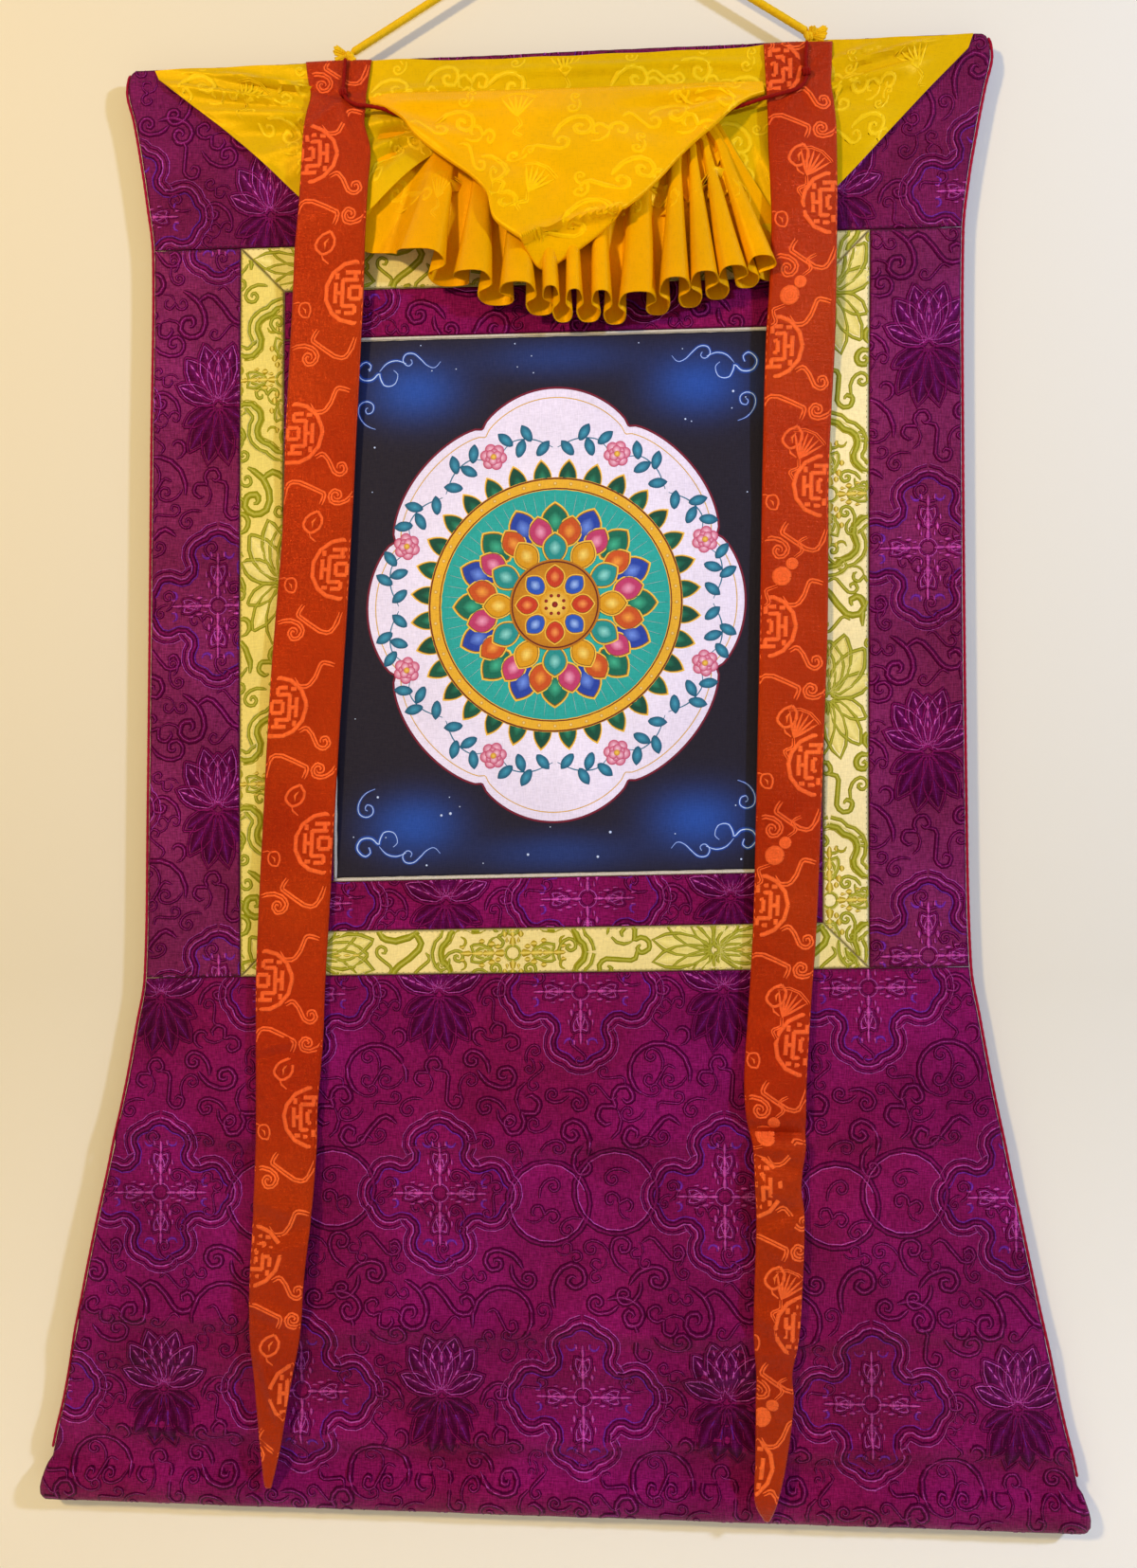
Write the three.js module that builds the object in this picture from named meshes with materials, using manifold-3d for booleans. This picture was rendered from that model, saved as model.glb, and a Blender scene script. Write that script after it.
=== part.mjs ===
// A thangka: a painting on canvas in a mount of silk brocade, hung from a cord, with its silk
// veil folded up over a tie cord and two brocade streamers hanging in front.
// Millimetres, +Z up, +X to the viewer's right; the picture faces -Y. The origin is the underside
// of the hanging cord's bend, where the cord lies on its nail.
import * as THREE from "three";
import { mergeVertices } from "three/addons/utils/BufferGeometryUtils.js";
import Module from "manifold-3d";

const wasm = await Module();
wasm.setup();
const { lerp, clamp, smoothstep } = THREE.MathUtils;

// Driving dimensions. "down" is the distance below the mount's top edge, measured on its centre
// line, "across" is the distance to the right of that line, and "out" is forward, towards -Y.
const TOP_EDGE_Z = -116;
const SEAM = 0.3; // gap between pieces that are sewn edge to edge
const BROCADE = 2; // the mount's brocade with its backing
const TOP_HEM = { thick: 4, deep: 14 };
const CANVAS = 1.2;
const PIPING = { wide: 2.4, thick: 2.8 };
const EDGE_CORD = { wide: 2.2, thick: 2.8 };
const BAND = { top: 147.3, bottom: 728, half: 249.5, wide: 35.5 };
const PICTURE = { top: 223.8, bottom: 650, half: 171 };
const MOUNT_BOTTOM = 1158;
const ROD_POCKET = { top: 1128, thick: 16, endShare: 0.45 };
const SILK = 1;
const STREAMER = 2.4;
const TIE_CORD = 3.2;
const HANGING_CORD = 6;
const KNOT = { wide: 15, high: 8.4, thick: 9 };

// The mount's outline: half its width, where its middle hangs, and how far its cross line tilts.
const MOUNT = [
  { down: 0, half: 331, middle: -31, tilt: 0.01 },
  { down: 3, half: 338, middle: -31, tilt: 0.01 },
  { down: 9, half: 343, middle: -31, tilt: 0.009 },
  { down: 20, half: 344, middle: -31, tilt: 0.009 },
  { down: 40, half: 339, middle: -31, tilt: 0.008 },
  { down: 75, half: 332.5, middle: -31.5, tilt: 0.006 },
  { down: 110, half: 327, middle: -32, tilt: 0.005 },
  { down: 150, half: 322.5, middle: -32, tilt: 0.0035 },
  { down: 300, half: 323, middle: -33.5, tilt: 0.006 },
  { down: 600, half: 326, middle: -35, tilt: 0.021 },
  { down: 728, half: 329, middle: -35, tilt: 0.017 },
  { down: 766, half: 335.5, middle: -35, tilt: 0.014 },
  { down: 813, half: 344, middle: -35, tilt: 0.011 },
  { down: 860, half: 353.5, middle: -35, tilt: 0.008 },
  { down: 956, half: 373.5, middle: -35, tilt: 0.002 },
  { down: 1076, half: 398, middle: -34, tilt: -0.004 },
  { down: 1125, half: 409.5, middle: -34, tilt: -0.006 },
  { down: 1150, half: 416, middle: -34, tilt: -0.007 },
  { down: 1158, half: 411, middle: -34, tilt: -0.008 },
];

// Creases that cross the lower panel, where the scroll was rolled.
const CREASES = [
  { down: 858, deep: 1.2, wide: 18 },
  { down: 1018, deep: 2.2, wide: 22 },
  { down: 1098, deep: 2.6, wide: 16 },
];
const SKIRT_WAVE = { start: 760, full: 960, end: 1110, deep: 2.5, length: 92 };

// Where the cross rows of the mount's pieces lie.
const TOP_ROWS = [0, 3, 9, 14, 20, 40, 75, 110];
const SIDE_ROWS = [190, 240, 300, 360, 420, 480, 540, 600, 650, 690];
const SKIRT_ROWS = [747, 766, 790, 813, 840, 858, 880, 918, 956, 996, 1018, 1040, 1076, 1098, 1115];
const POCKET_ROWS = [1128, 1129.5, 1134, 1143, 1152, 1156.5, 1158];

// The streamers, from the top edge to the pointed end: a row for each turn of their edges.
const STREAMERS = {
  streamer_left: [
    { z: -119, left: -227, right: -174, out: 4.8 },
    { z: -134, left: -225, right: -176, out: 6 },
    { z: -147, left: -222.5, right: -177.5, out: 8 },
    { z: -160, left: -224.5, right: -177.5, out: 11 },
    { z: -174, left: -226.5, right: -178, out: 13.5 },
    { z: -196, left: -227.5, right: -173, out: 16 },
    { z: -223, left: -228.5, right: -174.5, out: 18.5 },
    { z: -250, left: -230.5, right: -176, out: 19 },
    { z: -275, left: -234, right: -178, out: 15.5 },
    { z: -310, left: -237, right: -180, out: 11 },
    { z: -345, left: -239.5, right: -182.5, out: 9 },
    { z: -418, left: -244, right: -187, out: 7.5 },
    { z: -492, left: -247, right: -191, out: 7 },
    { z: -565, left: -253, right: -195.5, out: 7.5 },
    { z: -642, left: -259, right: -201, out: 7 },
    { z: -757, left: -265.5, right: -208, out: 7 },
    { z: -849, left: -270, right: -214, out: 6.5 },
    { z: -899, left: -270, right: -215.5, out: 8.5 },
    { z: -948, left: -270.5, right: -220, out: 7 },
    { z: -985, left: -270.5, right: -221, out: 7.5 },
    { z: -1040, left: -272, right: -225.5, out: 9 },
    { z: -1085, left: -274, right: -230.5, out: 10.5 },
    { z: -1130, left: -274.5, right: -234, out: 9.5 },
    { z: -1172, left: -270.5, right: -242, out: 9 },
    { z: -1215, left: -266.5, right: -249, out: 10 },
    { z: -1246, left: -263, right: -256, out: 13 },
    { z: -1251, left: -260.5, right: -258, out: 12.5 },
  ],
  streamer_right: [
    { z: -117, left: 135, right: 188.5, out: 4.8 },
    { z: -138, left: 136, right: 187.5, out: 6.5 },
    { z: -152, left: 136.5, right: 187, out: 7.5 },
    { z: -165, left: 137, right: 188.5, out: 9 },
    { z: -181, left: 137.5, right: 190, out: 10.5 },
    { z: -198, left: 137.5, right: 190.5, out: 11.5 },
    { z: -235, left: 139, right: 190.5, out: 13 },
    { z: -265, left: 139.5, right: 190, out: 14 },
    { z: -308, left: 138, right: 189.5, out: 12 },
    { z: -358, left: 135, right: 188.5, out: 9 },
    { z: -451, left: 132.5, right: 184, out: 7 },
    { z: -571, left: 130, right: 182.5, out: 7 },
    { z: -675, left: 127.5, right: 178.5, out: 7 },
    { z: -798, left: 124, right: 173.5, out: 6.5 },
    { z: -866, left: 120, right: 168.5, out: 8 },
    { z: -922, left: 116, right: 164.5, out: 10.5 },
    { z: -952, left: 117, right: 163.5, out: 12 },
    { z: -966, left: 120, right: 163.5, out: 8 },
    { z: -979, left: 122.5, right: 163, out: 11.5 },
    { z: -1007, left: 123.5, right: 159.5, out: 12.5 },
    { z: -1037, left: 124.5, right: 162, out: 11 },
    { z: -1116, left: 122, right: 158, out: 11.5 },
    { z: -1152, left: 124, right: 152, out: 10 },
    { z: -1174, left: 123.5, right: 153, out: 10 },
    { z: -1217, left: 123, right: 147.5, out: 10.5 },
    { z: -1249, left: 122, right: 140, out: 13 },
    { z: -1264, left: 128.5, right: 135, out: 13 },
    { z: -1267, left: 130.5, right: 133, out: 13 },
  ],
};

// The veil's back layer: where it is sewn at the top, and where its lower edge or fold lies.
const VEIL_BACK = [
  { topX: -350, lowX: -347, lowZ: -128, out: 3.6 },
  { topX: -330, lowX: -322, lowZ: -148, out: 4 },
  { topX: -300, lowX: -288, lowZ: -175, out: 5 },
  { topX: -270, lowX: -258, lowZ: -202, out: 6.5 },
  { topX: -245, lowX: -234, lowZ: -226, out: 9 },
  { topX: -222, lowX: -212, lowZ: -245, out: 12 },
  { topX: -202, lowX: -190, lowZ: -251, out: 14.5 },
  { topX: -186, lowX: -174, lowZ: -243, out: 16 },
  { topX: -168, lowX: -158, lowZ: -228, out: 16.5 },
  { topX: -150, lowX: -143, lowZ: -214, out: 16 },
  { topX: -132, lowX: -129, lowZ: -203, out: 14 },
  { topX: -112, lowX: -112, lowZ: -193, out: 10 },
  { topX: -85, lowX: -85, lowZ: -185, out: 6 },
  { topX: -45, lowX: -45, lowZ: -182, out: 5 },
  { topX: 0, lowX: 0, lowZ: -182, out: 5 },
  { topX: 45, lowX: 48, lowZ: -182, out: 5 },
  { topX: 72, lowX: 78, lowZ: -187, out: 5 },
  { topX: 92, lowX: 95, lowZ: -203, out: 5 },
  { topX: 108, lowX: 110, lowZ: -226, out: 5.5 },
  { topX: 124, lowX: 125, lowZ: -250, out: 6.5 },
  { topX: 142, lowX: 141, lowZ: -267, out: 7.5 },
  { topX: 160, lowX: 158, lowZ: -262, out: 7.5 },
  { topX: 180, lowX: 175, lowZ: -247, out: 7 },
  { topX: 202, lowX: 193, lowZ: -229, out: 6 },
  { topX: 228, lowX: 215, lowZ: -206, out: 5 },
  { topX: 255, lowX: 240, lowZ: -179, out: 4.5 },
  { topX: 278, lowX: 264, lowZ: -154, out: 4 },
  { topX: 297, lowX: 293, lowZ: -125, out: 3.6 },
];

// The front flap, a triangle that folds back at its lower rim: a row for each line down it.
const FLAP = [
  { topX: -152, rimX: -147, rimZ: -173, out: 24 },
  { topX: -140, rimX: -138, rimZ: -186, out: 25 },
  { topX: -126, rimX: -124, rimZ: -199, out: 26 },
  { topX: -112, rimX: -108, rimZ: -211, out: 27 },
  { topX: -97, rimX: -92, rimZ: -223, out: 28 },
  { topX: -82, rimX: -80, rimZ: -237, out: 29 },
  { topX: -67, rimX: -74, rimZ: -258, out: 31 },
  { topX: -52, rimX: -54, rimZ: -275, out: 34 },
  { topX: -36, rimX: -39, rimZ: -294, out: 36 },
  { topX: -20, rimX: -20, rimZ: -287, out: 37 },
  { topX: -4, rimX: 2, rimZ: -273, out: 36 },
  { topX: 12, rimX: 25, rimZ: -255, out: 34 },
  { topX: 28, rimX: 42, rimZ: -241, out: 31 },
  { topX: 44, rimX: 56, rimZ: -226, out: 28 },
  { topX: 59, rimX: 68, rimZ: -212, out: 26 },
  { topX: 74, rimX: 82, rimZ: -198, out: 24 },
  { topX: 89, rimX: 97, rimZ: -185, out: 22 },
  { topX: 102, rimX: 105, rimZ: -177, out: 21 },
];
const FLAP_TOP = { z: -150, turnBack: 16, fold: 3.2 };

// The veil's pleated hem, from left to right, in turn a fold that stands forward and one that lies
// back. "wide" is the width of the fold's tube; topX and topZ are where its crease is gathered.
const HEM_FOLDS = [
  { x: -186, z: -268, out: 8, wide: 20, topX: -176, topZ: -200 },
  { x: -166, z: -273, out: 9, wide: 14, topX: -146, topZ: -198 },
  { x: -133, z: -283, out: 33, wide: 30, topX: -110, topZ: -200 },
  { x: -116, z: -297, out: 8, wide: 22, topX: -98, topZ: -204 },
  { x: -99, z: -301, out: 31, wide: 17, topX: -86, topZ: -209 },
  { x: -86, z: -313, out: 8, wide: 17, topX: -76, topZ: -214 },
  { x: -72, z: -306, out: 34, wide: 17, topX: -66, topZ: -219 },
  { x: -59, z: -322, out: 8, wide: 16, topX: -57, topZ: -224 },
  { x: -45, z: -308, out: 36, wide: 17, topX: -48, topZ: -228 },
  { x: -31, z: -328, out: 12, wide: 14, topX: -34, topZ: -231 },
  { x: -16, z: -314, out: 37, wide: 17, topX: -20, topZ: -232 },
  { x: -2, z: -330, out: 12, wide: 14, topX: -6, topZ: -231 },
  { x: 12, z: -322, out: 30, wide: 15, topX: 8, topZ: -228 },
  { x: 26, z: -330, out: 9, wide: 16, topX: 24, topZ: -223 },
  { x: 39, z: -322, out: 30, wide: 13, topX: 40, topZ: -217 },
  { x: 50, z: -325, out: 9, wide: 14, topX: 53, topZ: -211 },
  { x: 61, z: -312, out: 41, wide: 15, topX: 64, topZ: -207 },
  { x: 72, z: -319, out: 10, wide: 15, topX: 72, topZ: -204 },
  { x: 82, z: -311, out: 40, wide: 16, topX: 79, topZ: -202 },
  { x: 93, z: -314, out: 10, wide: 15, topX: 85, topZ: -200 },
  { x: 103, z: -308, out: 37, wide: 15, topX: 91, topZ: -199 },
  { x: 114, z: -308, out: 11, wide: 13, topX: 96, topZ: -199 },
  { x: 124, z: -301, out: 31, wide: 14, topX: 101, topZ: -200 },
  { x: 150, z: -302, out: 6, wide: 34, topX: 118, topZ: -204 },
];
const GATHER = { z: -176, out: 5.4, deep: 9, narrows: 0.92, middle: -4 };
// How a fold's tube rounds: places across its width, and how far each is drawn to the next fold.
const TUBE_SIDES = [
  { side: -0.5, drawn: 0.28 },
  { side: -0.26, drawn: 0.06 },
  { side: 0.26, drawn: 0.06 },
  { side: 0.5, drawn: 0.28 },
];
const HEM_STEPS = [0, 0.16, 0.42, 0.72, 1];

// The tie cord, from the top edge down to its left knot, behind the flap, and up on the right.
const TIE_ROUTE = [
  { x: -194, z: -120, out: 9.8 },
  { x: -195, z: -134, out: 10.3 },
  { x: -195, z: -146, out: 12.3 },
  { x: -192, z: -155, out: 14.6 },
  { x: -184, z: -160, out: 15.4 },
  { x: -174, z: -161, out: 14.6 },
  { x: -163, z: -163, out: 13.2 },
  { x: -150, z: -168, out: 13.2 },
  { x: -125, z: -172, out: 12.9 },
  { x: -100, z: -173, out: 11.8 },
  { x: -60, z: -173, out: 9.8 },
  { x: 0, z: -173, out: 9.4 },
  { x: 60, z: -173, out: 9.4 },
  { x: 95, z: -173, out: 9.8 },
  { x: 118, z: -168, out: 11.2 },
  { x: 134, z: -164, out: 12.9 },
  { x: 151, z: -160, out: 13 },
  { x: 162, z: -156, out: 12.4 },
  { x: 167, z: -148, out: 11.6 },
  { x: 167, z: -134, out: 10.4 },
  { x: 168, z: -119, out: 9.8 },
];
const KNOTS = {
  cord_knot_left: { x: -193, z: -113 },
  cord_knot_right: { x: 172, z: -109.2 },
};
const NAIL_BEND = 8; // radius of the hanging cord's bend, to the cord's centre

const CLOTHS = {
  purple: new THREE.MeshStandardMaterial({ color: 0x5c1247, roughness: 0.6 }),
  green: new THREE.MeshStandardMaterial({ color: 0xc3c66a, roughness: 0.6 }),
  canvas: new THREE.MeshStandardMaterial({ color: 0x2a2b45, roughness: 0.8 }),
  cream: new THREE.MeshStandardMaterial({ color: 0xcfc7b0, roughness: 0.8 }),
  redCord: new THREE.MeshStandardMaterial({ color: 0x9e1c2c, roughness: 0.7 }),
  red: new THREE.MeshStandardMaterial({ color: 0xa32412, roughness: 0.5 }),
  yellow: new THREE.MeshStandardMaterial({ color: 0xe0b000, roughness: 0.45 }),
  yellowCord: new THREE.MeshStandardMaterial({ color: 0xe6b422, roughness: 0.6 }),
};

const thangka = new THREE.Group();

function add(name, geometry, cloth) {
  const mesh = new THREE.Mesh(geometry, CLOTHS[cloth]);
  mesh.name = name;
  thangka.add(mesh);
}

// One column of the mount's table, eased through its rows, at a place between them.
function along(down, column) {
  const last = MOUNT.length - 1;
  let i = 0;
  while (i < last - 1 && down > MOUNT[i + 1].down) i += 1;
  const slopeAt = (j) => {
    const before = MOUNT[Math.max(j - 1, 0)];
    const after = MOUNT[Math.min(j + 1, last)];
    return (after[column] - before[column]) / (after.down - before.down);
  };
  const from = MOUNT[i];
  const to = MOUNT[i + 1];
  const span = to.down - from.down;
  const t = clamp((down - from.down) / span, 0, 1);
  const leave = t * (1 - t) * (1 - t) * span * slopeAt(i);
  const arrive = t * t * (1 - t) * span * slopeAt(i + 1);
  return lerp(from[column], to[column], t * t * (3 - 2 * t)) + leave - arrive;
}

// A closed sheet: rows of points, given thickness on both sides of them. The rows run downwards
// and each row from left to right as seen from the front.
function sheet(rows, thick) {
  const height = rows.length;
  const width = rows[0].length;
  const positions = [];
  for (const side of [0.5, -0.5]) {
    rows.forEach((row, j) => {
      row.forEach((point, i) => {
        const cross = row[Math.min(i + 1, width - 1)].clone().sub(row[Math.max(i - 1, 0)]);
        const fall = rows[Math.min(j + 1, height - 1)][i].clone().sub(rows[Math.max(j - 1, 0)][i]);
        const size = typeof thick === "function" ? thick(j, i) : thick;
        const moved = fall.cross(cross).setLength(side * size).add(point);
        positions.push(moved.x, moved.y, moved.z);
      });
    });
  }
  const index = [];
  const quad = (a, b, c, d) => index.push(a, b, c, a, c, d);
  const front = (j, i) => j * width + i;
  const back = (j, i) => (height + j) * width + i;
  for (let j = 0; j < height - 1; j += 1) {
    for (let i = 0; i < width - 1; i += 1) {
      quad(front(j, i), front(j + 1, i), front(j + 1, i + 1), front(j, i + 1));
      quad(back(j, i), back(j, i + 1), back(j + 1, i + 1), back(j + 1, i));
    }
    quad(front(j + 1, 0), front(j, 0), back(j, 0), back(j + 1, 0));
    quad(front(j, width - 1), front(j + 1, width - 1), back(j + 1, width - 1), back(j, width - 1));
  }
  for (let i = 0; i < width - 1; i += 1) {
    quad(front(0, i), front(0, i + 1), back(0, i + 1), back(0, i));
    quad(front(height - 1, i + 1), front(height - 1, i), back(height - 1, i), back(height - 1, i + 1));
  }
  const geometry = new THREE.BufferGeometry();
  geometry.setAttribute("position", new THREE.Float32BufferAttribute(positions, 3));
  geometry.setIndex(index);
  return geometry;
}

// How far the hanging mount stands forward of its plane.
function stand(across, down) {
  let out = 0;
  for (const crease of CREASES) {
    const from = (down - crease.down) / crease.wide;
    out += crease.deep * Math.exp(-from * from) * (1 + 0.3 * Math.sin(across / 60));
  }
  const grown = smoothstep(down, SKIRT_WAVE.start, SKIRT_WAVE.full);
  const faded = 1 - smoothstep(down, SKIRT_WAVE.full, SKIRT_WAVE.end);
  return out * (1 - smoothstep(down, SKIRT_WAVE.end, ROD_POCKET.top)) +
    SKIRT_WAVE.deep * grown * faded * (1 + Math.sin(across / SKIRT_WAVE.length));
}

// The place in the room of a point of the mount.
function hang(across, down) {
  const x = along(down, "middle") + across;
  const z = TOP_EDGE_Z - down + along(down, "tilt") * across;
  return new THREE.Vector3(x, -stand(across, down), z);
}

// A piece of the mount between two edges, given as distances from the centre line at each row.
// A mitred piece also shifts its rows, by how far along the row and down the piece they are.
function mountPiece({ name, cloth, downs, left, right, columns, thick = BROCADE, shift = () => 0 }) {
  const rows = downs.map((down, j) => {
    const row = [];
    for (let i = 0; i <= columns; i += 1) {
      const at = i / columns;
      const moved = down + shift(at, (down - downs[0]) / (downs.at(-1) - downs[0]));
      row.push(hang(lerp(left(down), right(down), at), moved));
    }
    return row;
  });
  const size = typeof thick === "function" ? (j, i) => thick(downs[j], i / columns) : thick;
  add(name, sheet(rows, size), cloth);
}

const edgeAt = (down) => along(down, "half");
const panelEdgeAt = (down) => edgeAt(down) - EDGE_CORD.wide - SEAM;
const gap = SEAM / 2;

function outerPanels() {
  mountPiece({
    name: "top_panel",
    cloth: "purple",
    downs: [...TOP_ROWS, BAND.top - gap],
    left: (down) => -panelEdgeAt(down),
    right: panelEdgeAt,
    columns: 12,
    thick: (down) => (down < TOP_HEM.deep ? TOP_HEM.thick : BROCADE),
  });
  const sideRows = [BAND.top + gap, ...SIDE_ROWS, BAND.bottom - gap];
  const inner = BAND.half + gap;
  mountPiece({
    name: "left_panel",
    cloth: "purple",
    downs: sideRows,
    left: (down) => -panelEdgeAt(down),
    right: () => -inner,
    columns: 3,
  });
  mountPiece({
    name: "right_panel",
    cloth: "purple",
    downs: sideRows,
    left: () => inner,
    right: panelEdgeAt,
    columns: 3,
  });
  const middle = (ROD_POCKET.top + MOUNT_BOTTOM) / 2;
  const reach = (MOUNT_BOTTOM - ROD_POCKET.top) / 2;
  mountPiece({
    name: "bottom_panel",
    cloth: "purple",
    downs: [BAND.bottom + gap, ...SKIRT_ROWS, ...POCKET_ROWS],
    left: (down) => -lowerEdgeAt(down),
    right: lowerEdgeAt,
    columns: 12,
    thick: (down, at) => {
      const from = Math.min(Math.abs(down - middle) / reach, 1);
      const end = at === 0 || at === 1 ? ROD_POCKET.endShare : 1;
      return BROCADE + (ROD_POCKET.thick - BROCADE) * Math.sqrt(1 - from * from) * end;
    },
  });
}

// The piping ends above the rod pocket, and below it the lower panel runs out to the mount's edge.
function lowerEdgeAt(down) {
  return down < ROD_POCKET.top ? panelEdgeAt(down) : edgeAt(down);
}

function edgeCords() {
  const downs = [...TOP_ROWS.slice(1), BAND.top, ...SIDE_ROWS, BAND.bottom, ...SKIRT_ROWS];
  const inside = (down) => edgeAt(down) - EDGE_CORD.wide;
  for (const [name, sign] of [["edge_cord_left", -1], ["edge_cord_right", 1]]) {
    mountPiece({
      name,
      cloth: "redCord",
      downs,
      left: (down) => (sign < 0 ? -edgeAt(down) : inside(down)),
      right: (down) => (sign < 0 ? -inside(down) : edgeAt(down)),
      columns: 1,
      thick: EDGE_CORD.thick,
    });
  }
}

// The green band, four strips with mitred corners.
function greenBand() {
  const outer = BAND.half - gap;
  const inner = BAND.half - BAND.wide + gap;
  const strips = [
    ["green_band_top", BAND.top + gap, BAND.top + BAND.wide - gap, 1],
    ["green_band_bottom", BAND.bottom - BAND.wide + gap, BAND.bottom - gap, -1],
  ];
  for (const [name, top, bottom, narrows] of strips) {
    const reach = (down) => outer - SEAM - (narrows > 0 ? down - top : bottom - down);
    mountPiece({
      name,
      cloth: "green",
      downs: [top, bottom],
      left: (down) => -reach(down),
      right: reach,
      columns: 14,
    });
  }
  const downs = [BAND.top + SEAM, ...SIDE_ROWS, BAND.bottom - SEAM];
  for (const [name, sign] of [["green_band_left", -1], ["green_band_right", 1]]) {
    mountPiece({
      name,
      cloth: "green",
      downs,
      left: () => (sign < 0 ? -outer : inner),
      right: () => (sign < 0 ? -inner : outer),
      columns: 2,
      shift: (at, fallen) => (sign < 0 ? at : 1 - at) * (outer - inner) * (1 - 2 * fallen),
    });
  }
}

// The inner purple band: the side strips lie between the top and bottom ones.
function innerBand() {
  const outer = BAND.half - BAND.wide - gap;
  const pipedHalf = PICTURE.half + PIPING.wide + gap;
  const top = BAND.top + BAND.wide + gap;
  const bottom = BAND.bottom - BAND.wide - gap;
  const pipedTop = PICTURE.top - PIPING.wide - gap;
  const pipedBottom = PICTURE.bottom + PIPING.wide + gap;
  for (const [name, downs] of [
    ["inner_band_top", [top, pipedTop]],
    ["inner_band_bottom", [pipedBottom, bottom]],
  ]) {
    mountPiece({ name, cloth: "purple", downs, left: () => -outer, right: () => outer, columns: 12 });
  }
  const downs = [pipedTop + SEAM, ...SIDE_ROWS.slice(1, 8), pipedBottom - SEAM];
  for (const [name, sign] of [["inner_band_left", -1], ["inner_band_right", 1]]) {
    mountPiece({
      name,
      cloth: "purple",
      downs,
      left: () => (sign < 0 ? -outer : pipedHalf),
      right: () => (sign < 0 ? -pipedHalf : outer),
      columns: 2,
    });
  }
}

function pictureAndPiping() {
  const half = PICTURE.half;
  const sides = SIDE_ROWS.slice(1, 8);
  mountPiece({
    name: "painting",
    cloth: "canvas",
    downs: [PICTURE.top + gap, ...sides, PICTURE.bottom - gap],
    left: () => -half + gap,
    right: () => half - gap,
    columns: 8,
    thick: CANVAS,
  });
  const piped = half + PIPING.wide;
  for (const [name, downs] of [
    ["piping_top", [PICTURE.top - PIPING.wide, PICTURE.top - gap]],
    ["piping_bottom", [PICTURE.bottom + gap, PICTURE.bottom + PIPING.wide]],
  ]) {
    mountPiece({
      name,
      cloth: "cream",
      downs,
      left: () => -piped,
      right: () => piped,
      columns: 12,
      thick: PIPING.thick,
    });
  }
  for (const [name, sign] of [["piping_left", -1], ["piping_right", 1]]) {
    mountPiece({
      name,
      cloth: "cream",
      downs: [PICTURE.top + gap, ...sides, PICTURE.bottom - gap],
      left: () => (sign < 0 ? -piped : half + gap),
      right: () => (sign < 0 ? -half - gap : piped),
      columns: 1,
      thick: PIPING.thick,
    });
  }
}

function streamers() {
  for (const [name, sections] of Object.entries(STREAMERS)) {
    const rows = sections.map(({ z, left, right, out }) => {
      const bow = Math.min(0.8, (right - left) / 40);
      return [-1, -0.4, 0.4, 1].map((at) => {
        const x = lerp(left, right, (at + 1) / 2);
        return new THREE.Vector3(x, -(out + bow * (1 - at * at)), z);
      });
    });
    add(name, sheet(rows, STREAMER), "red");
  }
}

// The layer of the veil that is sewn along the top edge, with its outer edges drawn in to the ties.
function veilBack() {
  const steps = [0, 0.25, 0.5, 0.75, 1];
  const sewnOut = TOP_HEM.thick / 2 + SEAM + SILK / 2;
  const rows = steps.map((at) => VEIL_BACK.map(({ topX, lowX, lowZ, out }, i) => {
    const topZ = TOP_EDGE_Z - 4.5 + 0.01 * (topX - MOUNT[0].middle);
    const swell = Math.sin(Math.PI * at) * Math.min(1.4, (topZ - lowZ) / 40) * (i % 2);
    const forward = lerp(sewnOut, Math.max(out, sewnOut), at ** 1.3) + swell;
    return new THREE.Vector3(lerp(topX, lowX, at), -forward, lerp(topZ, lowZ, at));
  }));
  return sheet(rows, SILK);
}

// The front flap: down from under the tie, round its rim and a little way up behind itself.
function veilFlap() {
  const { z: topZ, turnBack, fold } = FLAP_TOP;
  const rowsOfFlap = [0, 0.16, 0.34, 0.6, 0.85, 1].map((at) => FLAP.map((line) => {
    const out = lerp(GATHER.out, line.out, Math.sqrt(at));
    return new THREE.Vector3(lerp(line.topX, line.rimX, at), -out, lerp(topZ, line.rimZ, at));
  }));
  const turned = [
    { rise: -fold, back: fold * 0.6 },
    { rise: -fold, back: fold * 1.6 },
    { rise: 0, back: fold * 2.3 },
    { rise: turnBack, back: fold * 2.2 },
  ];
  const rowsBehind = turned.map(({ rise, back }) => FLAP.map((line) => {
    const height = Math.min(rise, (topZ - line.rimZ) * 0.25);
    const sweep = lerp(line.rimX, line.topX, Math.max(height, 0) / (topZ - line.rimZ));
    return new THREE.Vector3(sweep, -(line.out - back), line.rimZ + height);
  }));
  return sheet([...rowsOfFlap, ...rowsBehind], SILK);
}

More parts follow.
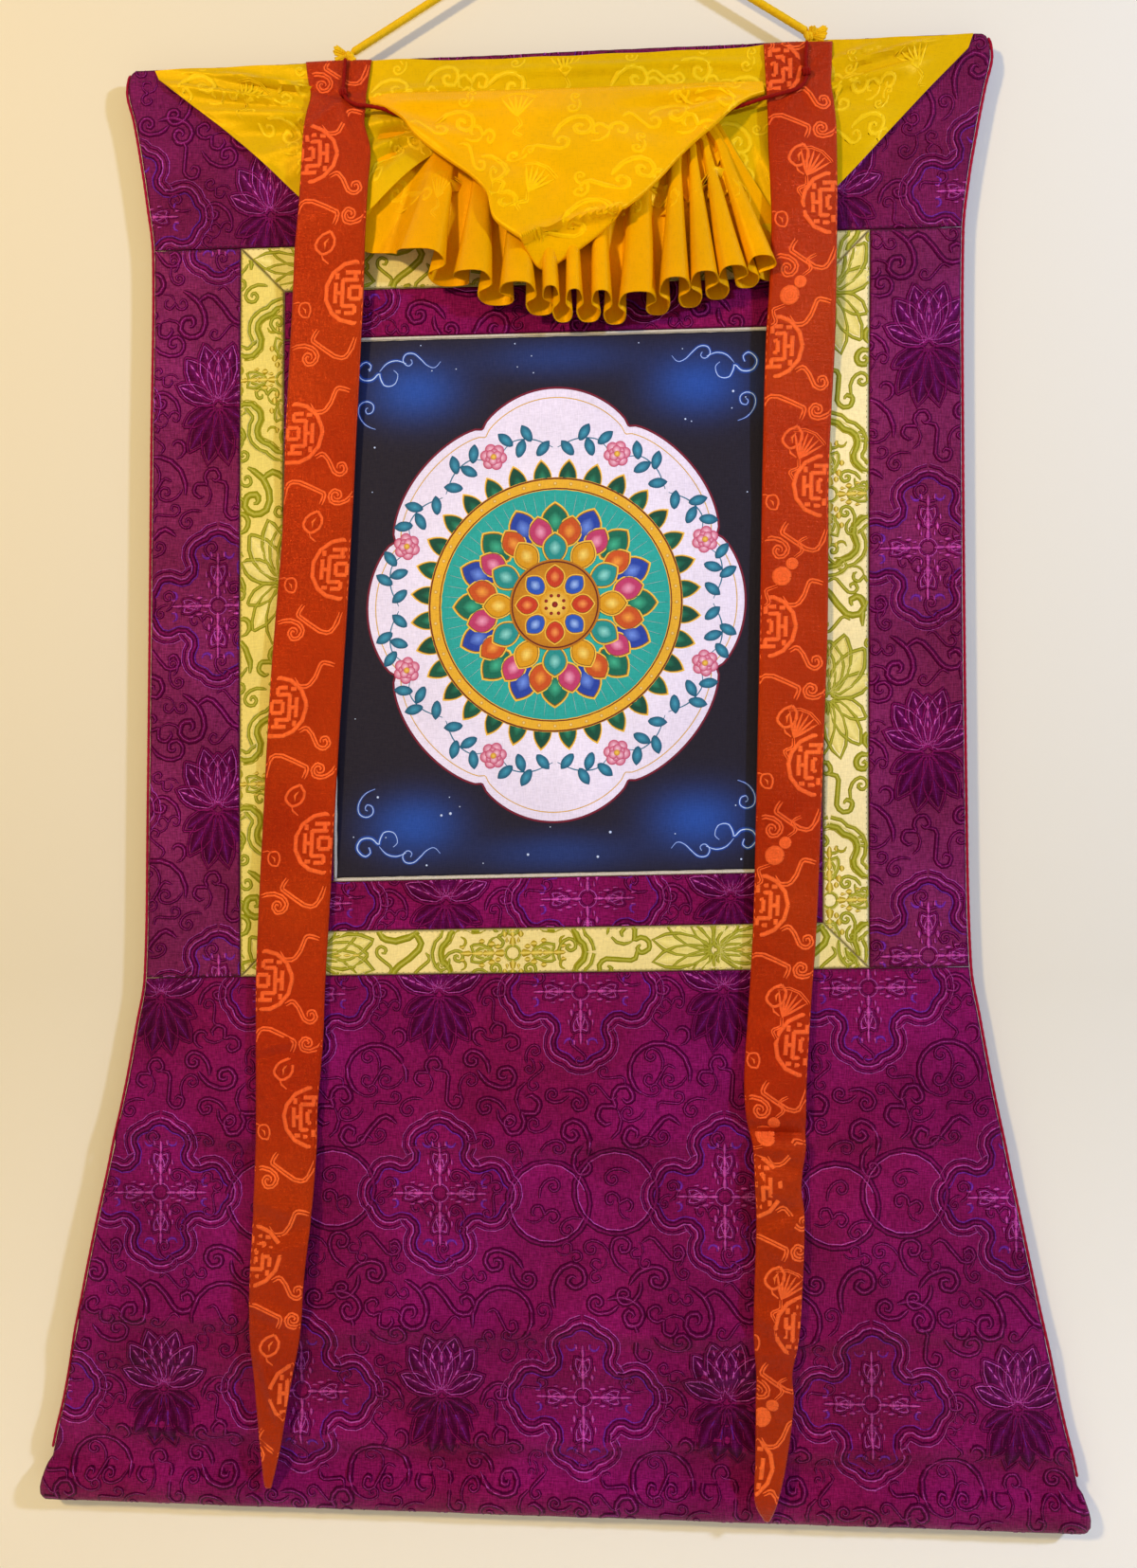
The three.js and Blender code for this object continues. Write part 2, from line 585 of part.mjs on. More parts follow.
// The pleats: each fold of the hem is a tube with a narrow neck, drawn together at the gather.
function veilPleats() {
  const hem = [];
  const tops = [];
  HEM_FOLDS.forEach((fold, k) => {
    const before = HEM_FOLDS[k - 1] ?? fold;
    const after = HEM_FOLDS[k + 1] ?? fold;
    const standsForward = fold.out > (before.out + after.out) / 2;
    for (const { side, drawn } of TUBE_SIDES) {
      const neighbour = side < 0 ? before : after;
      const x = fold.x + side * fold.wide;
      const z = lerp(fold.z, neighbour.z, drawn);
      hem.push(new THREE.Vector3(x, -lerp(fold.out, neighbour.out, drawn), z));
      const share = Math.abs(side) * 0.7;
      const deep = GATHER.out + GATHER.deep * (standsForward ? 0.75 : 0.3) + 1 - drawn;
      tops.push(new THREE.Vector3(
        lerp(fold.topX, neighbour.topX, share),
        -deep,
        lerp(fold.topZ, neighbour.topZ, share),
      ));
    }
  });
  const rows = HEM_STEPS.map((at) => hem.map((low, i) => {
    const point = tops[i].clone().lerp(low, at);
    point.y = lerp(tops[i].y, low.y, at ** 1.15);
    return point;
  }));
  const held = tops.map((top) => new THREE.Vector3(
    top.x * GATHER.narrows + GATHER.middle,
    -GATHER.out,
    GATHER.z,
  ));
  return sheet([held, ...rows], SILK);
}

function solidOf(geometry) {
  const merged = mergeVertices(geometry, 1e-3);
  return new wasm.Manifold(new wasm.Mesh({
    numProp: 3,
    vertProperties: merged.attributes.position.array,
    triVerts: new Uint32Array(merged.index.array),
  }));
}

function geometryOf(solid) {
  const mesh = solid.getMesh();
  const positions = [];
  for (let i = 0; i < mesh.numVert; i += 1) {
    const start = i * mesh.numProp;
    positions.push(...mesh.vertProperties.subarray(start, start + 3));
  }
  const geometry = new THREE.BufferGeometry();
  geometry.setAttribute("position", new THREE.Float32BufferAttribute(positions, 3));
  geometry.setIndex(Array.from(mesh.triVerts));
  return geometry;
}

// The veil is one cloth: its back layer, its flap and its pleats are joined where they meet.
function veil() {
  const joined = solidOf(veilBack()).add(solidOf(veilFlap())).add(solidOf(veilPleats()));
  add("veil", geometryOf(joined), "yellow");
}

// A round cord along a route.
function cordAlong(points, diameter, sides, steps) {
  const circle = new THREE.Shape();
  for (let k = 0; k < sides; k += 1) {
    const angle = (2 * Math.PI * k) / sides;
    const corner = [(diameter / 2) * Math.cos(angle), (diameter / 2) * Math.sin(angle)];
    if (k === 0) circle.moveTo(...corner);
    else circle.lineTo(...corner);
  }
  circle.closePath();
  const extrudePath = new THREE.CatmullRomCurve3(points, false, "centripetal");
  return new THREE.ExtrudeGeometry(circle, { steps, extrudePath, bevelEnabled: false });
}

function tieCord() {
  const points = TIE_ROUTE.map(({ x, z, out }) => new THREE.Vector3(x, -out, z));
  add("tie_cord", cordAlong(points, TIE_CORD, 8, 60), "redCord");
}

// The hanging cord runs straight from each knot to its bend over the nail.
function hangingCord() {
  const rise = HANGING_CORD / 2;
  const centre = new THREE.Vector3(0, 0, rise - NAIL_BEND);
  const ends = ["cord_knot_left", "cord_knot_right"].map((name) => {
    const { x, z } = KNOTS[name];
    return new THREE.Vector3(x - Math.sign(x) * 4, 0, z + KNOT.high / 2 + SEAM + 1.4);
  });
  const [start, end] = ends;
  const bend = [-0.56, -0.3, 0, 0.3, 0.56].map((turn) => new THREE.Vector3(
    centre.x + NAIL_BEND * Math.sin(turn),
    0,
    centre.z + NAIL_BEND * Math.cos(turn),
  ));
  const leg = (from, to, count) => {
    const points = [];
    for (let k = 1; k < count; k += 1) points.push(from.clone().lerp(to, k / count));
    return points;
  };
  const route = [start, ...leg(start, bend[0], 6), ...bend, ...leg(bend.at(-1), end, 6), end];
  add("hanging_cord", cordAlong(route, HANGING_CORD, 10, 44), "yellowCord");
}

// The cord's knots lie on the mount's top edge, as flattened balls.
function knots() {
  for (const [name, { x, z }] of Object.entries(KNOTS)) {
    const ball = new THREE.SphereGeometry(0.5, 14, 10);
    ball.scale(KNOT.wide, KNOT.thick, KNOT.high);
    ball.translate(x, 0, z);
    ball.deleteAttribute("normal");
    ball.deleteAttribute("uv");
    add(name, mergeVertices(ball, 1e-3), "yellowCord");
  }
}

outerPanels();
edgeCords();
greenBand();
innerBand();
pictureAndPiping();
veil();
streamers();
tieCord();
hangingCord();
knots();

export default thangka;
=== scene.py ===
# %% [markdown]
# # A thangka in its silk mount
# A thangka is a painting on canvas, sewn into a mount of silk brocade and hung from a cord.
# This lesson loads the measured model as a fixed frame and dresses it: each cloth gets its
# folds, woven figures, seams and sheen, and stays where the measured solid is.

# %% The frame from the measured model
import bpy
import math
import numpy as np
from mathutils import Matrix, Vector


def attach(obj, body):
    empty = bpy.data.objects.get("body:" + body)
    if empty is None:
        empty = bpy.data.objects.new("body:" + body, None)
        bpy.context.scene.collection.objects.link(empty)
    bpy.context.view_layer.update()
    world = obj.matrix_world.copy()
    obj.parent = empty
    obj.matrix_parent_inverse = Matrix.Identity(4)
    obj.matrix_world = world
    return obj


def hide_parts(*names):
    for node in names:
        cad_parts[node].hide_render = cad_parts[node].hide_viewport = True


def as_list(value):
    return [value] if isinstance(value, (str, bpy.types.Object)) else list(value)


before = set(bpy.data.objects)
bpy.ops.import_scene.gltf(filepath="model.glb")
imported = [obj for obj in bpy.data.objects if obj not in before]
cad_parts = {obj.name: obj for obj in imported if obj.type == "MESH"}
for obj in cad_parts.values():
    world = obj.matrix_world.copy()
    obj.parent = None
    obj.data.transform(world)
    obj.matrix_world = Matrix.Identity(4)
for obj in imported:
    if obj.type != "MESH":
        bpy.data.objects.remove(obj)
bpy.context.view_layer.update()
print("nodes in the frame:", len(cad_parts))

# %% [markdown]
# ## The camera
# The picture was taken from straight in front, a step to the right of the middle, with the
# camera held a touch off level. A camera is set by three arrows: where it looks, its right
# and its up. The lens follows from the width that one picture dot covers on the cloth.

# %% The camera
def added(name, data):
    """An object of the scene that shows the data."""
    made = bpy.data.objects.new(name, data)
    bpy.context.scene.collection.objects.link(made)
    return made


SIDE_STEP = math.radians(3.0)
ROLL = math.radians(-0.25)
DISTANCE = 1.0
DOT = 0.00075  # metres on the cloth for one dot of the picture
DOTS_HIGH = 1655
SENSOR = 36
LOOKED_AT = Vector((-0.0202913, 0, -0.6948045))
ahead = Vector((-math.sin(SIDE_STEP), math.cos(SIDE_STEP), 0))
level = Vector((math.cos(SIDE_STEP), math.sin(SIDE_STEP), 0))
upright = Vector((0, 0, 1))
right = level * math.cos(ROLL) + upright * math.sin(ROLL)
above = upright * math.cos(ROLL) - level * math.sin(ROLL)
lens = bpy.data.cameras.new("camera")
lens.sensor_fit = "VERTICAL"
lens.sensor_height = SENSOR
lens.lens = SENSOR * DISTANCE / (DOT * DOTS_HIGH)
camera = added("camera", lens)
pose = Matrix((right, above, -ahead)).transposed().to_4x4()
pose.translation = LOOKED_AT - ahead * DISTANCE
camera.matrix_world = pose
bpy.context.scene.camera = camera
print("lens in millimetres:", round(lens.lens, 2))

# %% [markdown]
# ## Small helpers
# Cloth is thought of in millimetres and as rows of points. These helpers pull a smooth line
# through a few points, turn rows of points into a mesh, and give the mesh its dye: the colour
# of the threads, kept at each point, so that woven figures need no separate material.

# %% Colours and smooth lines
MM = 0.001


def dye(code):
    """A colour written as six hexadecimal digits, as the shader wants it."""
    parts = np.array([int(code[i:i + 2], 16) / 255 for i in (0, 2, 4)])
    return np.where(parts <= 0.04045, parts / 12.92, ((parts + 0.055) / 1.055) ** 2.4)


def spread(rows, count):
    """A smooth curve through the rows, given as this many rows."""
    rows = np.asarray(rows, float)
    last = len(rows) - 1
    t = np.linspace(0, last, count)
    i = np.clip(t.astype(int), 0, last - 1)
    f = (t - i)[:, None]
    a, b, c, d = (rows[np.clip(i + k, 0, last)] for k in (-1, 0, 1, 2))
    return 0.5 * (2 * b + (c - a) * f + (2 * a - 5 * b + 4 * c - d) * f ** 2
                  + (3 * b - a - 3 * c + d) * f ** 3)


def lerp(a, b, t):
    return a + (b - a) * t


def smoothstep(x, low, high):
    t = np.clip((x - low) / (high - low), 0, 1)
    return t * t * (3 - 2 * t)


def run_of(path):
    """How far along a path each of its points is."""
    steps = np.linalg.norm(np.diff(path, axis=0), axis=1)
    return np.concatenate([[0], np.cumsum(steps)])


def evenly(path, step):
    """The same path with points about a step apart."""
    run = run_of(path)
    places = np.linspace(0, run[-1], max(int(round(run[-1] / step)), 2) + 1)
    return np.stack([np.interp(places, run, column) for column in path.T], 1)


def turning(degrees):
    """The matrix that turns a flat path; a positive angle leans what stands to the right."""
    angle = math.radians(degrees)
    return np.array(((math.cos(angle), math.sin(angle)), (-math.sin(angle), math.cos(angle))))


print("the dye of a middle grey:", dye("808080").round(3))

# %% [markdown]
# ## Sheets and ropes as meshes
# A cloth has two faces and an edge, so a closed sheet is built between two grids of points. A
# laid cord is a tube whose strands show as grooves. A curve with a round bevel would be
# quicker, but it would be smooth, so the rings of the tube are computed here.

# %% Meshes
def dressed(made, slot):
    """The object as a piece that rides on the frame's one body."""
    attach(made, "root")
    return made


def piece(name, points, faces, material, slot, dyes, uv, sharp=50):
    """A mesh piece from points in millimetres, with a dye and a place on the cloth for each."""
    mesh = bpy.data.meshes.new(name)
    mesh.from_pydata((np.asarray(points) * MM).tolist(), [], faces)
    mesh.polygons.foreach_set("use_smooth", [True] * len(mesh.polygons))
    mesh.set_sharp_from_angle(angle=math.radians(sharp))
    colours = np.ones((len(points), 4))
    colours[:, :3] = dye(dyes) if isinstance(dyes, str) else dyes
    layer = mesh.attributes.new("dye", "FLOAT_COLOR", "POINT")
    layer.data.foreach_set("color", colours.ravel())
    corners = np.zeros(len(mesh.loops), int)
    mesh.loops.foreach_get("vertex_index", corners)
    layer = mesh.uv_layers.new(name="cloth")
    layer.data.foreach_set("uv", (np.asarray(uv)[corners] * MM).ravel())
    mesh.materials.append(material)
    return dressed(added(name, mesh), slot)


def grid_faces(height, width, first=0, turned_over=False):
    """The four-cornered faces of a grid of points that runs down and across."""
    j, i = np.meshgrid(np.arange(height - 1), np.arange(width - 1), indexing="ij")
    a = (first + j * width + i).ravel()
    faces = np.stack([a, a + width, a + width + 1, a + 1], 1)
    return (faces[:, ::-1] if turned_over else faces).tolist()


def slab(front, back):
    """Points and faces of a closed sheet between two grids of points."""
    height, width = front.shape[:2]
    size = height * width
    faces = grid_faces(height, width) + grid_faces(height, width, size, True)
    across, down = np.arange(width), np.arange(height) * width
    for line, flip in ((across, False), (size - width + across, True), (down, True),
                       (down + width - 1, False)):
        a, b = line[:-1], line[1:]
        rim = np.stack([a, b, b + size, a + size], 1)
        faces += (rim[:, ::-1] if flip else rim).tolist()
    return np.concatenate([front.reshape(-1, 3), back.reshape(-1, 3)]), faces


def joined(shapes):
    """Several shapes as one: each gives points, faces and perhaps more rows, point by point."""
    faces, count = [], 0
    for shape in shapes:
        faces += [tuple(corner + count for corner in face) for face in shape[1]]
        count += len(shape[0])
    rows = [np.concatenate(column) for k, column in enumerate(zip(*shapes)) if k != 1]
    return [rows[0], faces] + rows[1:]


def unit_rows(rows):
    return rows / np.linalg.norm(rows, axis=1)[:, None]


def rope(path, radius, strands=3, deep=0.16, pitch=9.0, sides=8):
    """A laid cord: a tube whose strands show as shallow grooves that wind along it."""
    path = np.asarray(path, float)
    tangent = unit_rows(np.gradient(path, axis=0))
    side = unit_rows(np.cross(tangent, (0, -1, 0)))
    front = np.cross(side, tangent)
    run = run_of(path)
    turn = np.arange(sides) * 2 * math.pi / sides
    wound = strands * (turn[None, :] - 2 * math.pi * run[:, None] / pitch / strands) / 2
    size = radius * (1 - deep * (1 - np.abs(np.cos(wound))))
    ends = np.minimum(run, run[-1] - run)
    size *= np.sqrt(np.clip(0.25 + ends / radius, 0, 1))[:, None]
    rings = (path[:, None] + size[..., None] * (np.cos(turn)[None, :, None] * side[:, None]
             + np.sin(turn)[None, :, None] * front[:, None]))
    last = (len(path) - 1) * sides
    faces = []
    for ring in range(0, last, sides):
        for k in range(sides):
            a, b = ring + k, ring + (k + 1) % sides
            faces.append((a, b, b + sides, a + sides))
    faces.append(tuple(range(sides))[::-1])
    faces.append(tuple(range(last, last + sides)))
    uv = np.stack([np.tile(turn * radius, len(path)), np.repeat(run, sides)], 1)
    return rings.reshape(-1, 3), faces, uv


def cord_piece(name, shape, code, finish, slot):
    """A piece of one dye from a rope's points, faces and places."""
    points, faces, uv = shape
    return piece(name, points, faces, finish, slot, code, uv)


print("faces of a short rope:", len(rope([(0, 0, z) for z in range(5)], 1)[1]))

# %% [markdown]
# ## Cloth finishes
# Brocade is a satin ground with figures woven in another thread. Close up one sees the
# weave, further off its sheen and faint streaks where threads are thicker. The threads' own
# colours come from the dye at each point; noise stretched along the cloth's two directions
# makes the streaks, and two crossed waves make the weave's bump. A node tree is easier to read
# as nested steps, so one helper adds a node and links whatever it is given.

# %% Nodes
def node(tree, kind, inputs, **settings):
    """A node with its settings; each input is a value, or an output to be linked."""
    made = tree.nodes.new(kind)
    made.location = (len(tree.nodes) % 6 * 220, -len(tree.nodes) // 6 * 260)
    for name, value in settings.items():
        setattr(made, name, value)
    for key, value in inputs.items():
        if isinstance(value, bpy.types.NodeSocket):
            tree.links.new(value, made.inputs[key])
        else:
            made.inputs[key].default_value = value
    return made


def maths(tree, operation, a, b):
    return node(tree, "ShaderNodeMath", {0: a, 1: b}, operation=operation).outputs[0]


def noise(tree, place, scale, detail):
    return node(tree, "ShaderNodeTexNoise", {0: place, "Scale": scale, "Detail": detail}).outputs[0]


def mapped(tree, value, low, high, to_low, to_high):
    """A value moved from one range to another."""
    return node(tree, "ShaderNodeMapRange",
                {"Value": value, "From Min": low, "From Max": high,
                 "To Min": to_low, "To Max": to_high}).outputs[0]


def rgba(code):
    return (*dye(code), 1)


print("node helpers: maths, noise, mapped")

# %% A cloth finish
STREAKS = ((1100, 150, 1), (170, 1000, 1))  # thick threads, drawn out either way of the cloth
ONE_BAND = 2 * math.pi / 20  # the wave node's scale for one band to a metre


def cloth_finish(name, thread, rough, shine, glow, bump, mottle=0.16, fleck=0.12, drift=0.0):
    """Woven cloth: a thread's width in metres, its gloss and sheen, and how its hue drifts."""
    material = bpy.data.materials.new(name)
    material.use_nodes = True
    tree = material.node_tree
    tree.nodes.clear()
    uv = node(tree, "ShaderNodeUVMap", {}, uv_map="cloth").outputs[0]
    colour = node(tree, "ShaderNodeAttribute", {}, attribute_name="dye").outputs["Color"]
    streaks = []
    for scale in STREAKS:
        stretched = node(tree, "ShaderNodeMapping", {0: uv, "Scale": scale}).outputs[0]
        streaks.append(noise(tree, stretched, 1.0, 2.0))
    both = maths(tree, "ADD", *streaks)
    cloud = mapped(tree, noise(tree, uv, 14.0, 3.0), 0.3, 0.7, 1 - mottle, 1 + mottle)
    flecks = mapped(tree, both, 0.7, 1.3, 1 - fleck, 1 + fleck)
    shade = node(tree, "ShaderNodeVectorMath",
                 {0: colour, "Scale": maths(tree, "MULTIPLY", cloud, flecks)}, operation="SCALE")
    turn = mapped(tree, noise(tree, uv, 7.0, 2.0), 0.35, 0.65, 0.5 + drift / 3, 0.5 - drift)
    tinted = node(tree, "ShaderNodeHueSaturation", {"Hue": turn, "Color": shade.outputs[0]})
    waves = [node(tree, "ShaderNodeTexWave", {0: uv, "Scale": ONE_BAND / thread},
                  bands_direction=axis).outputs["Fac"] for axis in "XY"]
    height = maths(tree, "ADD", maths(tree, "MULTIPLY", *waves), both)
    relief = node(tree, "ShaderNodeBump",
                  {"Strength": bump, "Distance": thread * 0.5, "Height": height})
    shader = node(tree, "ShaderNodeBsdfPrincipled", {
        "Base Color": tinted.outputs[0], "Normal": relief.outputs[0],
        "Roughness": mapped(tree, both, 0.7, 1.3, rough + 0.08, rough - 0.08),
        "Specular IOR Level": shine[0], "Specular Tint": rgba(shine[1]),
        "Sheen Weight": glow[0], "Sheen Tint": rgba(glow[1]), "Sheen Roughness": 0.35})
    node(tree, "ShaderNodeOutputMaterial", {0: shader.outputs[0]})
    return material


def plain_finish(name, code, rough):
    """One even colour."""
    material = bpy.data.materials.new(name)
    material.use_nodes = True
    shader = material.node_tree.nodes["Principled BSDF"]
    shader.inputs["Base Color"].default_value = rgba(code)
    shader.inputs["Roughness"].default_value = rough
    return material


PURPLE_CLOTH = cloth_finish("purple_brocade", 0.0011, 0.42, (0.55, "d8108c"), (0.12, "a83088"),
                            0.6, mottle=0.24, fleck=0.5, drift=0.02)
GREEN_CLOTH = cloth_finish("green_brocade", 0.0009, 0.45, (0.35, "f2e070"), (0.04, "e0d060"),
                           0.35, mottle=0.07, fleck=0.1, drift=0.006)
RED_CLOTH = cloth_finish("red_brocade", 0.0009, 0.27, (1.0, "ff6420"), (0.08, "e04010"),
                         0.45, mottle=0.12, fleck=0.24, drift=-0.004)
YELLOW_SILK = cloth_finish("yellow_silk", 0.0006, 0.3, (0.7, "ffc000"), (0.05, "ffc000"),
                           0.2, mottle=0.1, fleck=0.1, drift=0.006)
CANVAS = cloth_finish("painted_canvas", 0.0009, 0.65, (0.25, "ffffff"), (0.0, "ffffff"),
                      0.35, mottle=0.05, fleck=0.1)
CREAM_CORD = cloth_finish("cream_piping", 0.0006, 0.7, (0.2, "fff6e0"), (0.1, "fff0d0"),
                          0.4, mottle=0.05)
RED_CORD = cloth_finish("red_cord", 0.0006, 0.6, (0.3, "ff4030"), (0.1, "c02020"),
                        0.4, mottle=0.12)
YELLOW_CORD = cloth_finish("yellow_cord", 0.0008, 0.55, (0.3, "ffd860"), (0.1, "ffc020"),
                           0.4, mottle=0.08)
print("finishes:", len(bpy.data.materials))

# %% [markdown]
# ## The hanging cord and its knots
# The scroll hangs from one cord over a nail. It runs straight from each knot to a small bend
# at the top, under the mount's weight, so it is a taut cord: a laid tube along the same points
# as the measured one. Each end is knotted behind the top edge, and a short tuft flares out.

# %% The hanging cord
KNOTS = {"left": (-193.0, -113.0), "right": (172.0, -109.2)}
KNOT_HIGH = 8.4
HANGING = 6.0
NAIL_BEND = 8.0
bend_middle = HANGING / 2 - NAIL_BEND
bend = [(NAIL_BEND * math.sin(a), 0, bend_middle + NAIL_BEND * math.cos(a))
        for a in (-0.56, -0.3, 0, 0.3, 0.56)]
cord_ends = [np.array((x - math.copysign(2.0, x), 0, z + KNOT_HIGH / 2 - 1.5))
             for x, z in KNOTS.values()]
legs = [spread([cord_ends[0], bend[0]], 7), spread([bend[-1], cord_ends[1]], 7)]
hanging_route = np.concatenate([legs[0][:-1], bend, legs[1][1:]])
hanging_path = evenly(spread(hanging_route, 700), 0.8)
YELLOW_DYE, TIE_DYE = "e9b913", "86140d"
hanging_cord = cord_piece("hanging_rope", rope(hanging_path, HANGING / 2, 4, 0.06, 5.5, 16),
                          YELLOW_DYE, YELLOW_CORD, "yellow_cord")
hanging_length = run_of(hanging_path)[-1] * MM
print("hanging cord, metres:", round(hanging_length, 4))

# %% [markdown]
# ## The tie cord
# A thinner red cord ties the veil up. It comes out below each streamer's knot, runs under the
# veil's flap from one to the other, and lies where the hands of whoever tied it left it, so
# its way is a list of places and no rule.

# %% The tie cord
TIE_CORD = 3.2
TIE_ROUTE = [
    (-194, -9.8, -120), (-195, -10.3, -134), (-195, -12.3, -146), (-192, -14.6, -155),
    (-184, -15.4, -160), (-174, -14.6, -161), (-163, -13.2, -163), (-150, -13.2, -168),
    (-125, -12.9, -172), (-100, -11.8, -173), (-60, -9.8, -173), (0, -9.4, -173),
    (60, -9.4, -173), (95, -9.8, -173), (118, -11.2, -168), (134, -12.9, -164),
    (151, -13, -160), (162, -12.4, -156), (167, -11.6, -148), (167, -10.4, -134),
    (168, -9.8, -119),
]
tie_path = evenly(spread(TIE_ROUTE, 900), 0.9)
tie_cord = cord_piece("tie_twine", rope(tie_path, TIE_CORD / 2, 2, 0.25, 4.5, 12),
                      TIE_DYE, RED_CORD, "red_cord")
tie_length = run_of(tie_path)[-1] * MM
print("tie cord, metres:", round(tie_length, 4))


# %% [markdown]
# ## How the mount hangs
# The mount flares towards its foot, its cross lines tilt a little, and the foot stands
# forward in long soft waves and in creases from being rolled. The same table and rules as in
# the measured model give every point of it, so each dressed panel lies on its solid.

# %% The hang of the mount
TOP_EDGE = -116.0
SEAM = 0.3
BROCADE = 2.0
BAND = {"top": 147.3, "bottom": 728.0, "half": 249.5, "wide": 35.5}
PICTURE = {"top": 223.8, "bottom": 650.0, "half": 171.0}
PIPING = 2.4
EDGE_CORD = 2.2
FOOT = 1158.0
POCKET_TOP = 1128.0
# distance down, half the width, the middle, the tilt
MOUNT = np.array([
    (0, 337, -31, .01), (2, 340.5, -31, .01), (7, 343, -31, .009), (20, 344, -31, .009),
    (40, 339, -31, .008), (75, 332.5, -31.5, .006), (110, 327, -32, .005),
    (150, 322.5, -32, .0035), (300, 323, -33.5, .006), (600, 326, -35, .021),
    (728, 329, -35, .017), (766, 335.5, -35, .014), (813, 344, -35, .011),
    (860, 353.5, -35, .008), (956, 373.5, -35, .002), (1076, 398, -34, -.004),
    (1125, 409.5, -34, -.006), (1150, 416, -34, -.007), (1158, 411, -34, -.008),
])
CREASES = [(858, 1.2, 18), (1018, 2.2, 22), (1098, 2.6, 16)]  # down, deep, wide
# how far down the foot starts to swell forward, is fullest, and lies flat again
SWELLS, FULLEST, FLAT = 760, 960, 1110
HALF, MIDDLE, TILT = 1, 2, 3


def along(down, column):
    """One column of the mount's table, eased between its rows."""
    at, value = MOUNT[:, 0], MOUNT[:, column]
    slope = (np.append(value[1:], value[-1]) - np.append(value[0], value[:-1])) / (
        np.append(at[1:], at[-1]) - np.append(at[0], at[:-1]))
    i = np.clip(np.searchsorted(at, down, side="left") - 1, 0, len(at) - 2)
    span = at[i + 1] - at[i]
    t = np.clip((down - at[i]) / span, 0, 1)
    eased = lerp(value[i], value[i + 1], t * t * (3 - 2 * t))
    return eased + span * t * (1 - t) * ((1 - t) * slope[i] - t * slope[i + 1])


def stand(across, down):
    """How far the hanging mount stands forward of its plane."""
    out = 0
    for at, deep, wide in CREASES:
        out = out + deep * np.exp(-((down - at) / wide) ** 2) * (1 + 0.3 * np.sin(across / 60))
    grown = smoothstep(down, SWELLS, FULLEST) * (1 - smoothstep(down, FULLEST, FLAT))
    faded = 1 - smoothstep(down, FLAT, POCKET_TOP)
    return out * faded + 2.5 * grown * (1 + np.sin(across / 92))


# folds pressed in by rolling: from, to, down at each end, depth, width
ROLL_LINES = [
    (-390, -150, 852, 858, 0.8, 5), (-180, 120, 866, 861, 0.9, 6), (60, 380, 858, 852, 0.6, 5),
    (-400, -230, 1002, 1004, 1.0, 6), (-260, 20, 1015, 1010, 1.3, 7), (-40, 260, 1008, 1014, 1.1, 6),
    (200, 395, 1010, 1003, 0.9, 6), (-390, -120, 1040, 1046, 0.6, 6), (-60, 240, 1047, 1040, 0.7, 6),
    (-400, -180, 1092, 1096, 1.2, 6), (-220, 60, 1104, 1098, 1.4, 7), (0, 300, 1094, 1102, 1.2, 6),
    (230, 405, 1100, 1094, 1.0, 6), (-330, 40, 1062, 1068, 0.5, 5), (60, 350, 1072, 1066, 0.5, 5),
    (-370, -60, 905, 910, 0.4, 5), (40, 330, 930, 925, 0.4, 5), (-300, 100, 800, 797, 0.4, 6),
]
ROLL_WIDER, ROLL_DEEPER = 1.45, 3.7  # all the folds of the foot made broader and deeper
ROLL_HOLLOW = 13  # how far below a fold's ridge its hollow lies


def rolled(across, down):
    """The sharp small folds of the foot, each a ridge with a hollow below it."""
    out = 0
    for start, end, at, to, deep, wide in ROLL_LINES:
        share = (across - start) / (end - start)
        below = down - (lerp(at, to, share) + 2.5 * np.sin(across / 23 + start))
        wide = ROLL_WIDER * wide
        near = np.exp(-(below / wide) ** 2) - 0.7 * np.exp(-((below - ROLL_HOLLOW) / wide) ** 2)
        fading = np.clip(np.sin(np.clip(share, 0, 1) * math.pi), 0, 1) ** 0.6
        out = out + ROLL_DEEPER * deep * near * fading
    return out


SWAY = 0.6  # how much of the sway below a sewn panel keeps
SWAYS = ((210, 340, .35), (95, -260, .22), (-130, 120, .22), (70, 95, .12), (-48, 150, .1))


def swayed(across, down):
    """The soft unevenness of sewn cloth that hangs: waves across and down, each with a depth."""
    out = 0
    for k, (wave_x, wave_y, deep) in enumerate(SWAYS):
        out = out + deep * np.sin(across / wave_x * 6.28 + down / wave_y * 6.28 + k * 1.7)
    return out


def puckered(margin, run):
    """Cloth drawn up beside a seam: margin is the distance to it, run the distance along."""
    wave = np.sin(run / 1.45 + 1.6 * np.sin(run / 13)) + 0.7 * np.sin(run / 2.9 + 2 * np.sin(run / 21))
    return 0.16 * np.exp(-np.maximum(margin, 0) / 5) * wave


print("mount's half width at the foot:", float(along(np.array([1150.0]), HALF)[0]))


# %% [markdown]
# ## A panel of the mount
# Each panel is a closed sheet whose front and back are grids of points. Its borders turn
# back into the seam, the seam draws up small puckers, and the rows lie closer near the
# borders, where the cloth bends most. A panel keeps its rule, so that the woven figures can
# be laid on the very same surface later.

# %% The rule of a panel
# painted shade: the dye is darkened where the cloth dips into a seam, where shade would fall
SEAM_PAINTED_SHADE = 0.35  # how dark the cloth is where it dips into a seam
TURNS_OVER = 1.8  # how wide the strip is that turns back into a seam
FRONT_SINKS, BACK_SINKS = 0.95, 0.8  # how deep each face sinks there


def turned_back(margin, deep, wide=TURNS_OVER):
    """How far cloth sinks towards its border."""
    return deep * (1 - np.clip(margin / wide, 0, 1)) ** 2


